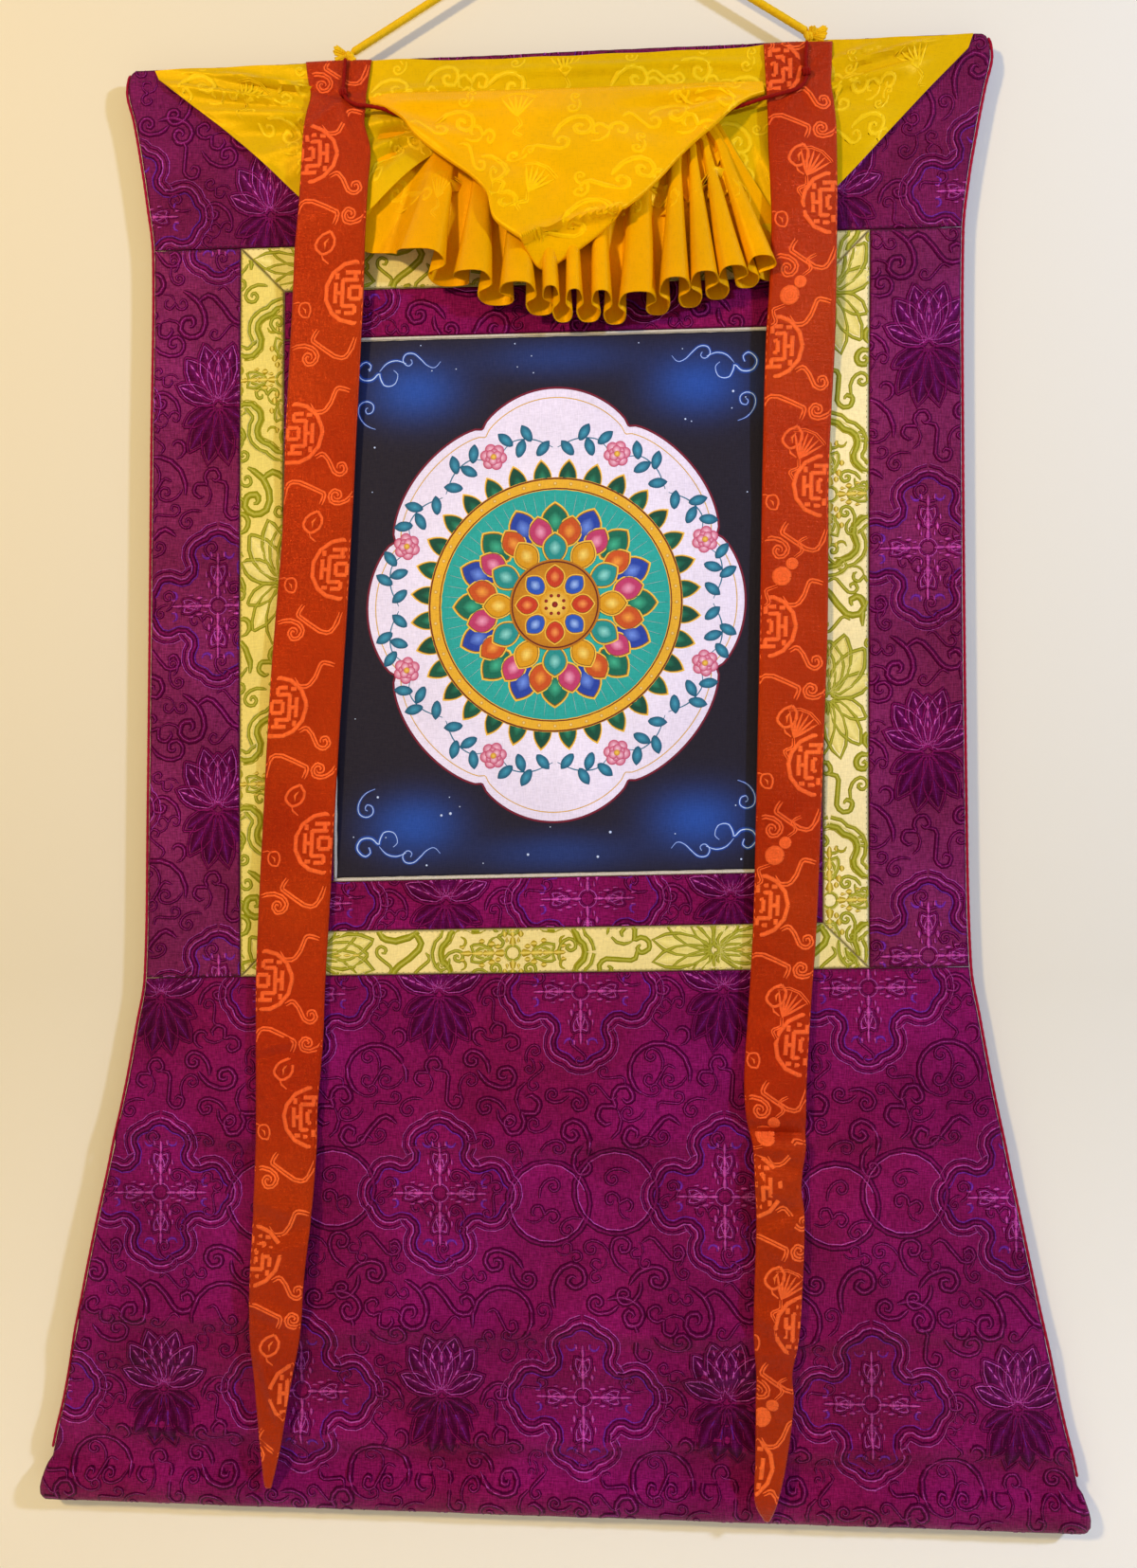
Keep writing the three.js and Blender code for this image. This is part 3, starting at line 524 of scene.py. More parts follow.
class Panel:
    """One piece of the mount: where its borders are and how its front stands."""

    def __init__(self, name, top, bottom, left, right, shift=None, thick=None, mitre=None):
        self.name, self.top, self.bottom = name, top, bottom
        self.left, self.right = left, right
        self.shift = shift or (lambda at, fallen: 0.0)
        self.thick = thick or (lambda across, down: BROCADE + 0 * across)
        self.mitre = mitre

    def margins(self, across, down):
        """The distance inside each border: top, bottom, left, right and the mitres."""
        found = [down - self.top, self.bottom - down,
                 across - self.left(down), self.right(down) - across]
        if self.mitre:
            found += self.mitre(across, down)
        return found

    def inside(self, across, down):
        return np.minimum.reduce(self.margins(across, down))

    def front(self, across, down):
        """Points of the front face."""
        top, bottom, left, right, *_ = self.margins(across, down)
        out = stand(across, down) + self.thick(across, down) / 2
        out = out - turned_back(self.inside(across, down), FRONT_SINKS)
        out = out + swayed(across, down) * SWAY + rolled(across, down)
        out = out + puckered(np.minimum(top, bottom), across)
        out = out + puckered(np.minimum(left, right), down)
        return self.place(across, down, out)

    def back(self, across, down):
        out = stand(across, down) - self.thick(across, down) / 2
        out = out + turned_back(self.inside(across, down), BACK_SINKS)
        out = out + swayed(across, down) * SWAY + rolled(across, down) * 0.8
        return self.place(across, down, out)

    @staticmethod
    def place(across, down, out):
        x = along(down, MIDDLE) + across
        z = TOP_EDGE - down + along(down, TILT) * across
        return np.stack([x, -out, z], -1)

    def lift(self, across, down, height):
        """Points raised above the front by a height."""
        points = self.front(across, down)
        points[..., 1] -= height
        return points

    @staticmethod
    def spaced(length, step):
        """Places from 0 to 1 that lie closer near both borders."""
        near = np.array([0, 0.4, 1.0, 2.0, 3.6]) / length
        inner = np.linspace(6 / length, 1 - 6 / length, max(int(length / step), 2))
        return np.concatenate([near, inner, 1 - near[::-1]])

    def sheet(self, cloth, slot, front_dye, back_dye, step=6.0):
        """The closed cloth, as an object that stands for its node."""
        middle = np.array([(self.top + self.bottom) / 2])
        wide = float((self.right(middle) - self.left(middle))[0])
        downs = self.top + self.spaced(self.bottom - self.top, step) * (self.bottom - self.top)
        at, down = np.meshgrid(self.spaced(wide, step), downs)
        fallen = (down - self.top) / (self.bottom - self.top)
        across = lerp(self.left(down), self.right(down), at)
        down = down + self.shift(at, fallen)
        points, faces = slab(self.front(across, down), self.back(across, down))
        fronts = front_dye(across, down) if callable(front_dye) else dye(front_dye)
        # painted shade in the seams: the dye darkens towards each border of the panel
        seam = SEAM_PAINTED_SHADE + (1 - SEAM_PAINTED_SHADE) * smoothstep(self.inside(across, down), 0.2, 2.0)
        dyes = np.empty((len(points), 3))
        dyes[:across.size] = (fronts * seam[..., None]).reshape(-1, 3)
        dyes[across.size:] = dye(back_dye)
        uv = np.tile(np.stack([across.ravel(), down.ravel()], 1), (2, 1))
        made = piece(self.name + "_cloth", points, faces, cloth, slot, dyes, uv)
        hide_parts(self.name)
        return made


print("a panel's rows over 100 mm:", len(Panel.spaced(100, 6.0)))

# %% [markdown]
# ## The panels and bands
# Purple panels frame a band of light green brocade, mitred at its corners, and inside it a
# narrow purple band frames the picture. The seams between them are gaps of 0.3 mm, as in the
# measured model, so each piece stays a cloth of its own. The lower hem is a tube for the rod.

# %% The panels of the mount
def edge_at(down):
    return along(down, HALF)


def panel_edge(down):
    return edge_at(down) - EDGE_CORD - SEAM


def foot_edge(down):
    return np.where(down < POCKET_TOP, panel_edge(down), edge_at(down))


def minus(edge):
    return lambda down: -edge(down)


def fixed(value):
    return lambda down: value + 0 * down


POCKET_MIDDLE, POCKET_REACH, POCKET_THICK = 1143, 15, 14


def pocket_thick(across, down):
    """The foot's hem is a tube round a rod, with rounded ends."""
    from_middle = np.clip(np.abs(down - POCKET_MIDDLE) / POCKET_REACH, 0, 1)
    to_end = np.clip((foot_edge(down) - np.abs(across)) / 14, 0, 1)
    round_end = 0.45 + 0.55 * np.sqrt(1 - (1 - to_end) ** 2)
    return BROCADE + POCKET_THICK * np.sqrt(1 - from_middle ** 2) * round_end


def hem_thick(across, down):
    """The top edge is turned over and sewn down."""
    return BROCADE + 2 * (1 - smoothstep(down, 12, 15))


gap = SEAM / 2
outer, inner = BAND["half"] - gap, BAND["half"] - BAND["wide"] + gap
core = BAND["half"] - BAND["wide"] - gap
piped = PICTURE["half"] + PIPING + gap
strip_top, strip_low = BAND["top"] + BAND["wide"], BAND["bottom"] - BAND["wide"]
BAND_ROWS = (BAND["top"] + gap, BAND["bottom"] - gap)
CORE_ROWS = (PICTURE["top"] - PIPING + gap, PICTURE["bottom"] + PIPING - gap)
PURPLE_PANELS = [
    Panel("top_panel", 0.0, BAND["top"] - gap, minus(panel_edge), panel_edge, thick=hem_thick),
    Panel("left_panel", *BAND_ROWS, minus(panel_edge), fixed(-outer - SEAM)),
    Panel("right_panel", *BAND_ROWS, fixed(outer + SEAM), panel_edge),
    Panel("bottom_panel", BAND["bottom"] + gap, FOOT, minus(foot_edge), foot_edge,
          thick=pocket_thick),
    Panel("inner_band_top", strip_top + gap, PICTURE["top"] - PIPING - gap,
          fixed(-core), fixed(core)),
    Panel("inner_band_bottom", PICTURE["bottom"] + PIPING + gap, strip_low - gap,
          fixed(-core), fixed(core)),
    Panel("inner_band_left", *CORE_ROWS, fixed(-core), fixed(-piped)),
    Panel("inner_band_right", *CORE_ROWS, fixed(piped), fixed(core)),
]


def green_strip(name, top, bottom, narrows):
    """A level strip of the green band, narrower towards the picture."""
    def reach(down):
        return outer - SEAM - (down - top if narrows > 0 else bottom - down)
    return Panel(name, top, bottom, minus(reach), reach)


def green_side(name, sign):
    """An upright strip of the green band, slanted at both ends."""
    top, bottom = BAND["top"] + SEAM, BAND["bottom"] - SEAM

    def shift(at, fallen):
        return (at if sign < 0 else 1 - at) * (outer - inner) * (1 - 2 * fallen)

    def mitre(across, down):
        from_outer = outer - sign * across
        return [(down - top - from_outer) / 1.41, (bottom - down - from_outer) / 1.41]
    left, right = sorted((sign * inner, sign * outer))
    return Panel(name, top, bottom, fixed(left), fixed(right), shift, mitre=mitre)


GREEN_PANELS = [
    green_strip("green_band_top", BAND["top"] + gap, strip_top - gap, 1),
    green_strip("green_band_bottom", strip_low + gap, BAND["bottom"] - gap, -1),
    green_side("green_band_left", -1),
    green_side("green_band_right", 1),
]
# the dye of each panel, with painted light in some: a painted pale sheen on the side panels, painted
# shade on the top panel and the left green band, a painted highlight on the right green band
PLUM, LIME = "781244", "f0dc8a"
PANEL_LIGHT_DYES = {"top_panel": "68193c", "left_panel": "722345", "right_panel": "722345",
         "green_band_left": "e8d46c", "green_band_right": "f6e6a2"}
for panel in PURPLE_PANELS:
    panel.sheet(PURPLE_CLOTH, "purple_brocade",
                                     PANEL_LIGHT_DYES.get(panel.name, PLUM), "541036")
for panel in GREEN_PANELS:
    panel.sheet(GREEN_CLOTH, "green_brocade",
                                     PANEL_LIGHT_DYES.get(panel.name, LIME), "c2b458", step=5.0)

# %% [markdown]
# ## Woven figures
# The brocade's figures stand a little proud of its ground and catch the light on one side.
# They could be painted by a material, but then they vanish from the side and in a mesh. So
# each figure is drawn as strokes, lines with a width, in the flat cloth's own millimetres,
# and each stroke becomes a low ribbon laid on the hanging cloth. The cloth's borders cut it.

# %% Strokes
def stroke(path, wide, kind, form="even", step=2.2):
    """A drawn line: its path, greatest width, kind of thread, and how its width runs."""
    path = evenly(np.asarray(path, float), step)
    t = np.linspace(0, 1, len(path))
    if form == "even":
        half = np.clip(np.minimum(t, 1 - t) / 0.08, 0.15, 1) ** 0.5
    elif form == "leaf":
        half = np.clip(np.sin(math.pi * t), 0.03, 1) ** 0.75
    elif form == "ring":
        half = np.ones(len(t))
    else:
        half = 0.35 + 0.65 * np.sin(math.pi * np.clip(t * 0.9, 0, 1))
    return {"path": path, "half": wide / 2 * half, "kind": kind}


def placed(strokes, x, y, turn=0.0, size=1.0, mirror=False):
    """The strokes moved, turned by degrees, resized and perhaps mirrored."""
    flip = np.array((-1.0 if mirror else 1.0, 1.0))
    return [{"path": (s["path"] * flip * size) @ turning(turn) + (x, y), "half": s["half"] * size,
             "kind": s["kind"]} for s in strokes]


def beside(path, distance):
    """A path that runs beside another."""
    tangent = np.gradient(path, axis=0)
    tangent /= np.linalg.norm(tangent, axis=1)[:, None] + 1e-9
    return path + distance * np.stack([tangent[:, 1], -tangent[:, 0]], 1)


def arc(x, y, radius, start=0, sweep=360, tighten=1.0):
    """An arc, or a spiral where its radius tightens: degrees from the right, turning down."""
    t = np.linspace(0, 1, 40)
    size = radius * lerp(1.0, tighten, t)
    angle = np.radians(start + sweep * t)
    return np.stack([x + size * np.cos(angle), y + size * np.sin(angle)], 1)


# How a kind of line looks: its height, and a profile across it of place, height and mix of
# its edge and middle dyes.
BAND_PROFILE = [(-1, -0.1, 0), (-0.58, 0.8, 0), (0, 1, 1), (0.58, 0.8, 0), (1, -0.1, 0)]
SOLID_PROFILE = [(-1, -0.1, 0), (-0.7, 0.8, 0.8), (0, 1, 1), (0.7, 0.8, 0.8), (1, -0.1, 0)]
THREAD_PROFILE = [(-1, -0.1, 0), (0, 1, 1), (1, -0.1, 0)]


def clipped(path, half, inside, keep=0.5):
    """The stretches of a stroke that lie inside the cloth, cut at its borders."""
    margin = inside(path[:, 0], path[:, 1]) - keep
    rows = np.column_stack([path, half])

    def border(within, beyond):
        return lerp(rows[within], rows[beyond], margin[within] / (margin[within] - margin[beyond]))
    stretch = []
    for k in range(len(rows)):
        if margin[k] > 0:
            if k and margin[k - 1] <= 0:
                stretch.append(border(k, k - 1))
            stretch.append(rows[k])
        elif stretch:
            stretch.append(border(k - 1, k))
            yield np.array(stretch)
            stretch = []
    if stretch:
        yield np.array(stretch)


def thinned(rows, bend=0.36, reach=9.0, widens=0.5):
    """The rows of a stroke that its turns and widths need; the rest are left out."""
    steps = np.diff(rows[:, :2], axis=0)
    heading = np.unwrap(np.arctan2(steps[:, 1], steps[:, 0]))
    kept, held = [0], heading[0]
    for k in range(1, len(rows) - 1):
        last = rows[kept[-1]]
        far = math.hypot(rows[k, 0] - last[0], rows[k, 1] - last[1])
        if abs(heading[k] - held) > bend or far > reach or abs(rows[k, 2] - last[2]) > widens:
            kept.append(k)
            held = heading[k]
    return rows[kept + [len(rows) - 1]]


def ribbon_of(rows, look, rise=0):
    """The grid of places, heights and dyes of one stretch of a stroke."""
    profile, height, edge_code, middle_code = look
    edge_dye, middle_dye = dye(edge_code), dye(middle_code)
    side = np.gradient(rows[:, :2], axis=0)
    side /= np.linalg.norm(side, axis=1)[:, None] + 1e-9
    side = np.stack([-side[:, 1], side[:, 0]], 1)
    places = [rows[:, :2] + side * (rows[:, 2] * at)[:, None] for at, _, _ in profile]
    heights = [np.full(len(rows), up * height + rise) for _, up, _ in profile]
    dyes = [np.tile(lerp(edge_dye, middle_dye, mixed), (len(rows), 1)) for _, _, mixed in profile]
    return np.array(places), np.array(heights), np.array(dyes)


def patch_of(outline, heart, height, rise, heart_dye, rim_dye):
    """A filled shape as a grid: rings from its heart out to its outline."""
    reach = np.linalg.norm(outline - heart, axis=1).max()
    inner = np.linspace(0.94, 0.01, max(int(reach / 7), 2))
    scales = np.concatenate([(1.0, 0.985), inner])
    ups = np.concatenate([(-0.05, 0.75), np.ones(len(inner))])
    mixes = np.concatenate([(0, 0), 1 - inner])
    places = [heart + (outline - heart) * scale for scale in scales]
    heights = [np.full(len(outline), up * height + rise) for up in ups]
    dyes = [np.tile(lerp(rim_dye, heart_dye, mix), (len(outline), 1)) for mix in mixes]
    return np.array(places), np.array(heights), np.array(dyes)


def ribbons(strokes, surface, looks, widen=1.0):
    """The grids of all the strokes that show on a surface."""
    for line in strokes:
        path, half = line["path"], line["half"] * widen
        if surface.inside(path[:, 0], path[:, 1]).max() < -float(half.max()):
            continue
        for rows in clipped(path, half, surface.inside):
            if len(rows) > 2 and run_of(rows[:, :2])[-1] > 1.2:
                yield ribbon_of(thinned(rows), looks[line["kind"]])


def kept_in(surface, places, keep=0.35):
    """Places that would lie past the cloth's border, moved back to it."""
    near = 0.05
    for _ in range(3):
        x, y = places[:, 0], places[:, 1]
        slope = np.stack([surface.inside(x + near, y) - surface.inside(x - near, y),
                          surface.inside(x, y + near) - surface.inside(x, y - near)], 1) / near / 2
        short = np.clip(keep - surface.inside(x, y), 0, None)
        places = places + slope * (short / np.clip(np.sum(slope ** 2, 1), 0.4, None))[:, None]
    return places


def laid_on(surface, grids):
    """All the grids as one shape that lies on a surface: points, faces, places and dyes."""
    grids, faces, count = list(grids), [], 0
    for _, heights, _ in grids:
        faces += grid_faces(*heights.shape, count)
        count += heights.size
    places = kept_in(surface, np.concatenate([flat.reshape(-1, 2) for flat, _, _ in grids]))
    heights = np.concatenate([up.ravel() for _, up, _ in grids])
    dyes = np.concatenate([colours.reshape(-1, 3) for _, _, colours in grids])
    return surface.lift(places[:, 0], places[:, 1], heights), faces, places, dyes


def laid(name, shape, cloth, slot):
    """A piece of a shape laid on a cloth."""
    points, faces, places, dyes = shape
    made = piece(name, points, faces, cloth, slot, dyes, places, sharp=80)
    print(name, "faces:", len(faces))
    return made


print("points across a broad line and a thin one:", len(BAND_PROFILE), len(THREAD_PROFILE))

# %% [markdown]
# ## The brocade's motifs
# The cloth repeats a unit about 225 mm wide and 320 mm high: four-lobed frames with a crossed
# bud, lotus flowers between them, linked rings, and cloud scrolls that fill every space. Each
# motif is a handful of strokes; the scrolls are sown by a seeded draw that keeps them apart.

# %% Cloud scrolls
def cord_line(path, wide, kind="band", form="even"):
    """A broad line with a bright thread along its middle."""
    return [stroke(path, wide, kind, form), stroke(path, wide * 0.2, "thread", form)]


HOOK = spread([(-17, 7), (-12, -1), (-5, -6), (4, -8), (12, -5), (14, 3), (9, 9), (2, 7),
               (1, 1), (6, 0), (7, 3)], 60)
WAVE = spread([(-20, -5), (-13, -10), (-6, -6), (-1, 1), (5, 8), (13, 9), (17, 3), (13, -3),
               (8, -1), (9, 3)], 60)
BOW = spread([(-9, 5), (-13, 3), (-13, -4), (-7, -7), (-2, -3), (0, 0), (3, -6), (10, -8),
              (15, -3), (12, 4), (7, 3), (7, -1)], 70)
TAIL = spread([(0, 1), (-3, 8), (-9, 12), (-16, 12)], 20)
CLOUDS = [
    cord_line(HOOK, 3.6), cord_line(WAVE, 3.4),
    cord_line(BOW, 3.4) + cord_line(TAIL, 2.6, form="comma"),
    cord_line(HOOK * 0.8, 3.4) + placed(cord_line(HOOK * 0.62, 3.0), -13, 12, 150),
]

print("cloud scrolls:", len(CLOUDS))

# %% Frames, buds, flowers and rings
QUARTER = [(0, -58), (6, -56.5), (10, -52), (16, -50), (21, -45), (21.5, -38), (18.5, -32),
           (19.5, -25), (24, -21)]


def outlined(path, wide=3.0, inward=2.4):
    """A closed figure line: a broad dark line with a bright thread inside it."""
    return [stroke(path, wide, "band", "ring", 1.8),
            stroke(beside(path, inward), 0.9, "thread", "ring", 1.8)]


def lobed_frame():
    """A four-lobed frame: an eighth of it drawn, then mirrored and turned."""
    mirrored = [(-y, -x) for x, y in QUARTER[::-1]]
    quarter = spread(QUARTER + mirrored[1:], 60)[:-1]
    path = [quarter @ turning(90 * k) for k in range(4)]
    path = np.concatenate(path + [path[0][:1]])
    return [stroke(beside(path, aside) if aside else path, wide, kind, "ring")
            for aside, wide, kind in ((0, 3.4, "band"), (2.8, 1.0, "thread"), (6.6, 2.2, "band"),
                                      (8.2, 0.7, "thread"), (-2.8, 0.9, "violet"))]


# a lotus petal's side, as shares of its width and of its length
PETAL_SIDE = ((0, 0), (0.30, 0.12), (0.50, 0.42), (0.46, 0.68), (0.24, 0.88), (0, 1))


def petal_outline(near, far, wide):
    """A lotus petal that points up: round-shouldered, with a small tip."""
    side = spread([(wide * x, -lerp(near, far, y)) for x, y in PETAL_SIDE], 12)
    other = side[::-1] * (-1, 1)
    return np.concatenate([side, other[1:]])


def bead(x, y, reach, wide, step=1.2):
    """A short upright bead, from its middle and how far it reaches up and down."""
    return stroke([(x, y + reach), (x, y), (x, y - reach)], wide, "bead", "leaf", step)


def crossed_bud():
    """A bud on each of four arms: beads in a row between curled petals."""
    bud = [bead(0, -away, long / 2, wide, step=1.4)
           for away, wide, long in ((9, 4.6, 8), (17, 5.4, 9), (25, 4.6, 8), (33, 3.4, 9))]
    for sign in (-1, 1):
        petal = petal_outline(0, 17, 9) @ np.array(((0.86, -0.5 * sign), (0.5 * sign, 0.86)))
        bud += outlined(petal + (sign * 3, -15), 1.8, 1.3)
        bud += [bead(aside * sign, -away, size, size * 1.3) for away, aside, size in
                ((15, 6.5, 2.6), (22, 8.5, 2.2), (36, 4.5, 2.0), (10.5, 4.6, 2.2))]
        curl = arc(sign * 7.5, -37, 4.4, 90 - 90 * sign, 200 * sign, 0.5)
        bud.append(stroke(curl, 1.8, "violet", "comma", 1.4))
    found = []
    for k in range(4):
        found += placed(bud, 0, 0, 90 * k, 1.0 if k % 2 else 1.12)
    return found + outlined(arc(0, 0, 6), 1.8, 1.2)


def lotus():
    """A flower seen from the side: a crown of round petals over a skirt of drooping ones."""
    found = []
    for lean, reach, wide in ((-66, 38, 17), (66, 38, 17), (-36, 46, 21), (36, 46, 21),
                              (-14, 50, 20), (14, 50, 20), (0, 44, 22)):
        turn = turning(lean)
        heart_line = np.array([(0, -3), (0, -reach * 0.55), (0, -reach + 3)]) @ turn
        found.append(stroke(heart_line, wide * 0.7, "petal", "leaf"))
        found += outlined(petal_outline(2, reach, wide) @ turn, 2.4, 1.9)
        for share in (0.45, 0.62, 0.78):
            spot = np.array([(0, -reach * share + 3), (0, -reach * share - 3)]) @ turn
            found.append(stroke(spot, 2.6, "bead" if lean == 0 else "thread", "leaf", 1.2))
    for lean, reach, wide in ((-122, 34, 14), (122, 34, 14), (-148, 46, 17), (148, 46, 17),
                              (-170, 50, 17), (170, 50, 17)):
        turn = turning(lean)
        heart_line = np.array([(0, -6), (0, -reach * 0.6), (0, -reach + 4)]) @ turn
        found.append(stroke(heart_line, wide * 0.62, "petal", "leaf"))
        found.append(stroke(petal_outline(4, reach, wide) @ turn, 2.0, "band", "ring"))
        found.append(stroke(heart_line, 1.0, "violet", "leaf"))
    for sign in (-1, 1):
        found += cord_line(arc(sign * 34, 34, 9, 90, 250 * sign, 0.35), 3.4, form="comma")
        found += placed(cord_line(HOOK * 0.8, 3.2), sign * 42, -2, -20 * sign, 1, sign < 0)
    return found


def linked_rings():
    found = []
    for x, y, aside, mirror in ((-26, 5, -3, False), (27, -5, 3, True)):
        found += [stroke(arc(x, y, 33), 3.6, "band", "ring"),
                  stroke(arc(x, y, 30.2, 20, 320), 0.8, "thread", "ring")]
        found += placed(CLOUDS[2], x + aside, y + 9, 20, 0.75, mirror)
        found += placed(CLOUDS[0], x, y - 13, -30, 0.62, mirror)
    return found


def dome():
    """A tall arch that ends in a scroll."""
    return (cord_line(arc(0, 0, 27, 165, 250, 0.72), 3.8)
            + placed(CLOUDS[1], -2, 2, 10, 0.7) + placed(CLOUDS[0], 4, 14, 200, 0.5))


print("strokes of a frame, a bud and a lotus:", len(lobed_frame()), len(crossed_bud()), len(lotus()))

# %% The unit that repeats
UNIT = np.array((225.0, 320.0))
# the sown scrolls: their size, how far they keep from other lines, and how often it is tried
SOWN = ((1.2, 18.5, 600), (0.9, 13.5, 900), (0.62, 9.0, 1200))


def brocade_unit(seed=11):
    """Every stroke of one unit of the brocade."""
    found = lobed_frame() + crossed_bud()
    found += placed(found, 112.5, 160)
    found += placed(lotus(), 0, 160)
    found += placed(linked_rings(), 112.5, 2)
    found += placed(dome(), 52, 98) + placed(dome(), 172, 225, 0, 1, True)
    draw = np.random.default_rng(seed)
    tiles = [np.array((i, j)) * UNIT for i in (-1, 0, 1) for j in (-1, 0, 1)]

    def spots(strokes):
        flat = np.concatenate([s["path"][::2] for s in strokes if s["kind"] in ("band", "petal")])
        return np.concatenate([flat + tile for tile in tiles])
    taken = spots(found)
    for size, clear, tries in SOWN:
        for _ in range(tries):
            x, y = draw.random(2) * UNIT
            kind, turn, mirror = draw.integers(4), draw.integers(8) * 45, draw.random() < 0.5
            if np.min(np.sum((taken - (x, y)) ** 2, 1)) < clear ** 2:
                continue
            cloud = placed(CLOUDS[kind], x, y, turn, size, mirror)
            found += cloud
            taken = np.concatenate([taken, spots(cloud)])
    return found


def tiled(unit, origin, panel, turn=0.0):
    """The unit repeated over a panel, from a chosen origin."""
    rows = np.array([panel.bottom, panel.top])
    low = (float(panel.left(rows).min()), panel.top)
    high = (float(panel.right(rows).max()), panel.bottom)
    matrix = turning(turn)
    corners = np.array([(x, y) for x in (low[0], high[0]) for y in (low[1], high[1])])
    local = (corners - origin) @ matrix.T
    first = np.floor(local.min(0) / UNIT).astype(int) - 1
    last = np.ceil(local.max(0) / UNIT).astype(int) + 1
    found = []
    for i in range(first[0], last[0] + 1):
        for j in range(first[1], last[1] + 1):
            for s in unit:
                path = (s["path"] + (i, j) * UNIT) @ matrix + origin
                if (path.max(0) >= low).all() and (path.min(0) <= high).all():
                    found.append(dict(s, path=path))
    return found


unit = brocade_unit()
print("strokes in a unit:", len(unit))

# %% [markdown]
# ## Two brocades from one unit
# The purple and the green brocade are woven alike and differ in their threads. So one unit
# serves both, with a table that gives each kind of line its height and its two dyes. Each
# piece was cut from another part of the cloth, and the level green strips lie crosswise.

# %% The figures of both brocades
PURPLE_LOOKS = {
    "band": (BAND_PROFILE, 0.5, "32021c", "76144a"),
    "thread": (THREAD_PROFILE, 0.62, "80246a", "c458a0"),
    "bead": (BAND_PROFILE, 0.6, "5c0c3e", "c85098"),
    "violet": (THREAD_PROFILE, 0.5, "4c1260", "76309a"),
    "petal": (BAND_PROFILE, 0.4, "34041f", "5c1048"),
}
GREEN_LOOKS = {
    "band": (BAND_PROFILE, 0.45, "868408", "b2ae38"),
    "thread": (THREAD_PROFILE, 0.5, "c8bc50", "e8da84"),
    "bead": (BAND_PROFILE, 0.5, "a88c10", "f0d860"),
    "violet": (THREAD_PROFILE, 0.3, "8f8a14", "a89a24"),
    "petal": (THREAD_PROFILE, 0.35, "d8c85c", "f2e284"),
}
# where a frame of the pattern stands on each panel: across, down, and how the cloth is turned
ORIGINS = {
    "top_panel": (0, -40, 0), "left_panel": (-267, 431, 0), "right_panel": (295, 399, 0),
    "bottom_panel": (-89, 903, 0), "inner_band_top": (-150, 150, 0),
    "inner_band_bottom": (-83, 510, 0), "inner_band_left": (-190, 300, 0),
    "inner_band_right": (190, 300, 0),
    "green_band_left": (-214, 253, 0), "green_band_right": (219, 355, 0),
    "green_band_top": (-30, 165, 90), "green_band_bottom": (-30, 712, 90),
}
for panels, looks, widen, cloth, slot in (
        (PURPLE_PANELS, PURPLE_LOOKS, 1.35, PURPLE_CLOTH, "purple_brocade"),
        (GREEN_PANELS, GREEN_LOOKS, 1.45, GREEN_CLOTH, "green_brocade")):
    for panel in panels:
        *origin, turn = ORIGINS[panel.name]
        grids = ribbons(tiled(unit, origin, panel, turn), panel, looks, widen)
        laid(panel.name + "_figure", laid_on(panel, grids), cloth, slot)

# %% [markdown]
# ## The painting
# The canvas shows in one opening of the mount. Mineral paints lie on it in thin flat layers,
# from the ground up: a dark ground with soft blue lights, a pale field with many lobes, and
# on it a round of lotus petals in green, blue, orange and pink with gold edges. Each petal is
# three patches, one on another, so its gold rim and its pale heart are real paint layers.

# %% The canvas
PICTURE_HEART = np.array((4.0, 437.0))
CANVAS_THICK = 1.2
NIGHT, NIGHT_BLUE = dye("1a1012"), dye("1f4fa6")


def night_ground(across, down):
    """The dark ground, with a soft blue light behind the clouds of each corner."""
    x, y = np.abs(across - PICTURE_HEART[0]), np.abs(down - PICTURE_HEART[1])
    glow = 0.8 * np.exp(-((x - 112) / 34) ** 2 - ((y - 172) / 22) ** 2)
    glow = glow + 0.35 * np.exp(-(x / 60) ** 2 - ((y - 196) / 14) ** 2) + 0.02
    return NIGHT + (NIGHT_BLUE - NIGHT) * glow[..., None]


canvas = Panel("painting", PICTURE["top"] + gap, PICTURE["bottom"] - gap,
               fixed(-PICTURE["half"] + gap), fixed(PICTURE["half"] - gap),
               thick=lambda across, down: CANVAS_THICK + 0 * across)
canvas.sheet(CANVAS, "canvas", night_ground, "c9bfa6", step=6.5)

# %% Brushes
PAINT = 0.07  # how thick a layer of paint is
paint_layers = []


def painted(outline, heart, layer, heart_code, rim_code):
    """A filled shape on the canvas, placed from the picture's heart."""
    paint_layers.append(patch_of(outline + PICTURE_HEART, heart + PICTURE_HEART, PAINT,
                                 PAINT * layer, dye(heart_code), dye(rim_code)))


def brushed(path, wide, layer, edge_code, middle_code, form="ring"):
    """A brushed line on the canvas."""
    line = stroke(path + PICTURE_HEART, wide, "line", form, step=1.6)
    rows = np.column_stack([line["path"], line["half"]])
    look = (BAND_PROFILE, PAINT, edge_code, middle_code)
    paint_layers.append(ribbon_of(rows, look, PAINT * layer))


def round_of(count, start=0.0):
    """Turning matrices evenly round the picture's heart."""
    return [turning(start + 360 * k / count) for k in range(count)]


turns = np.linspace(0, 2 * math.pi, 65)
circle = np.stack([np.cos(turns), np.sin(turns)], 1)


def dotted(x, y, size, matrix, layer, heart_code, rim_code, coarse=4):
    """A round dot, turned about the picture's heart."""
    spot = np.array((x, y))
    painted((circle[::coarse] * size + spot) @ matrix, spot @ matrix, layer, heart_code, rim_code)


GOLD, LIGHT_GOLD = "8a5a12", "f0c040"


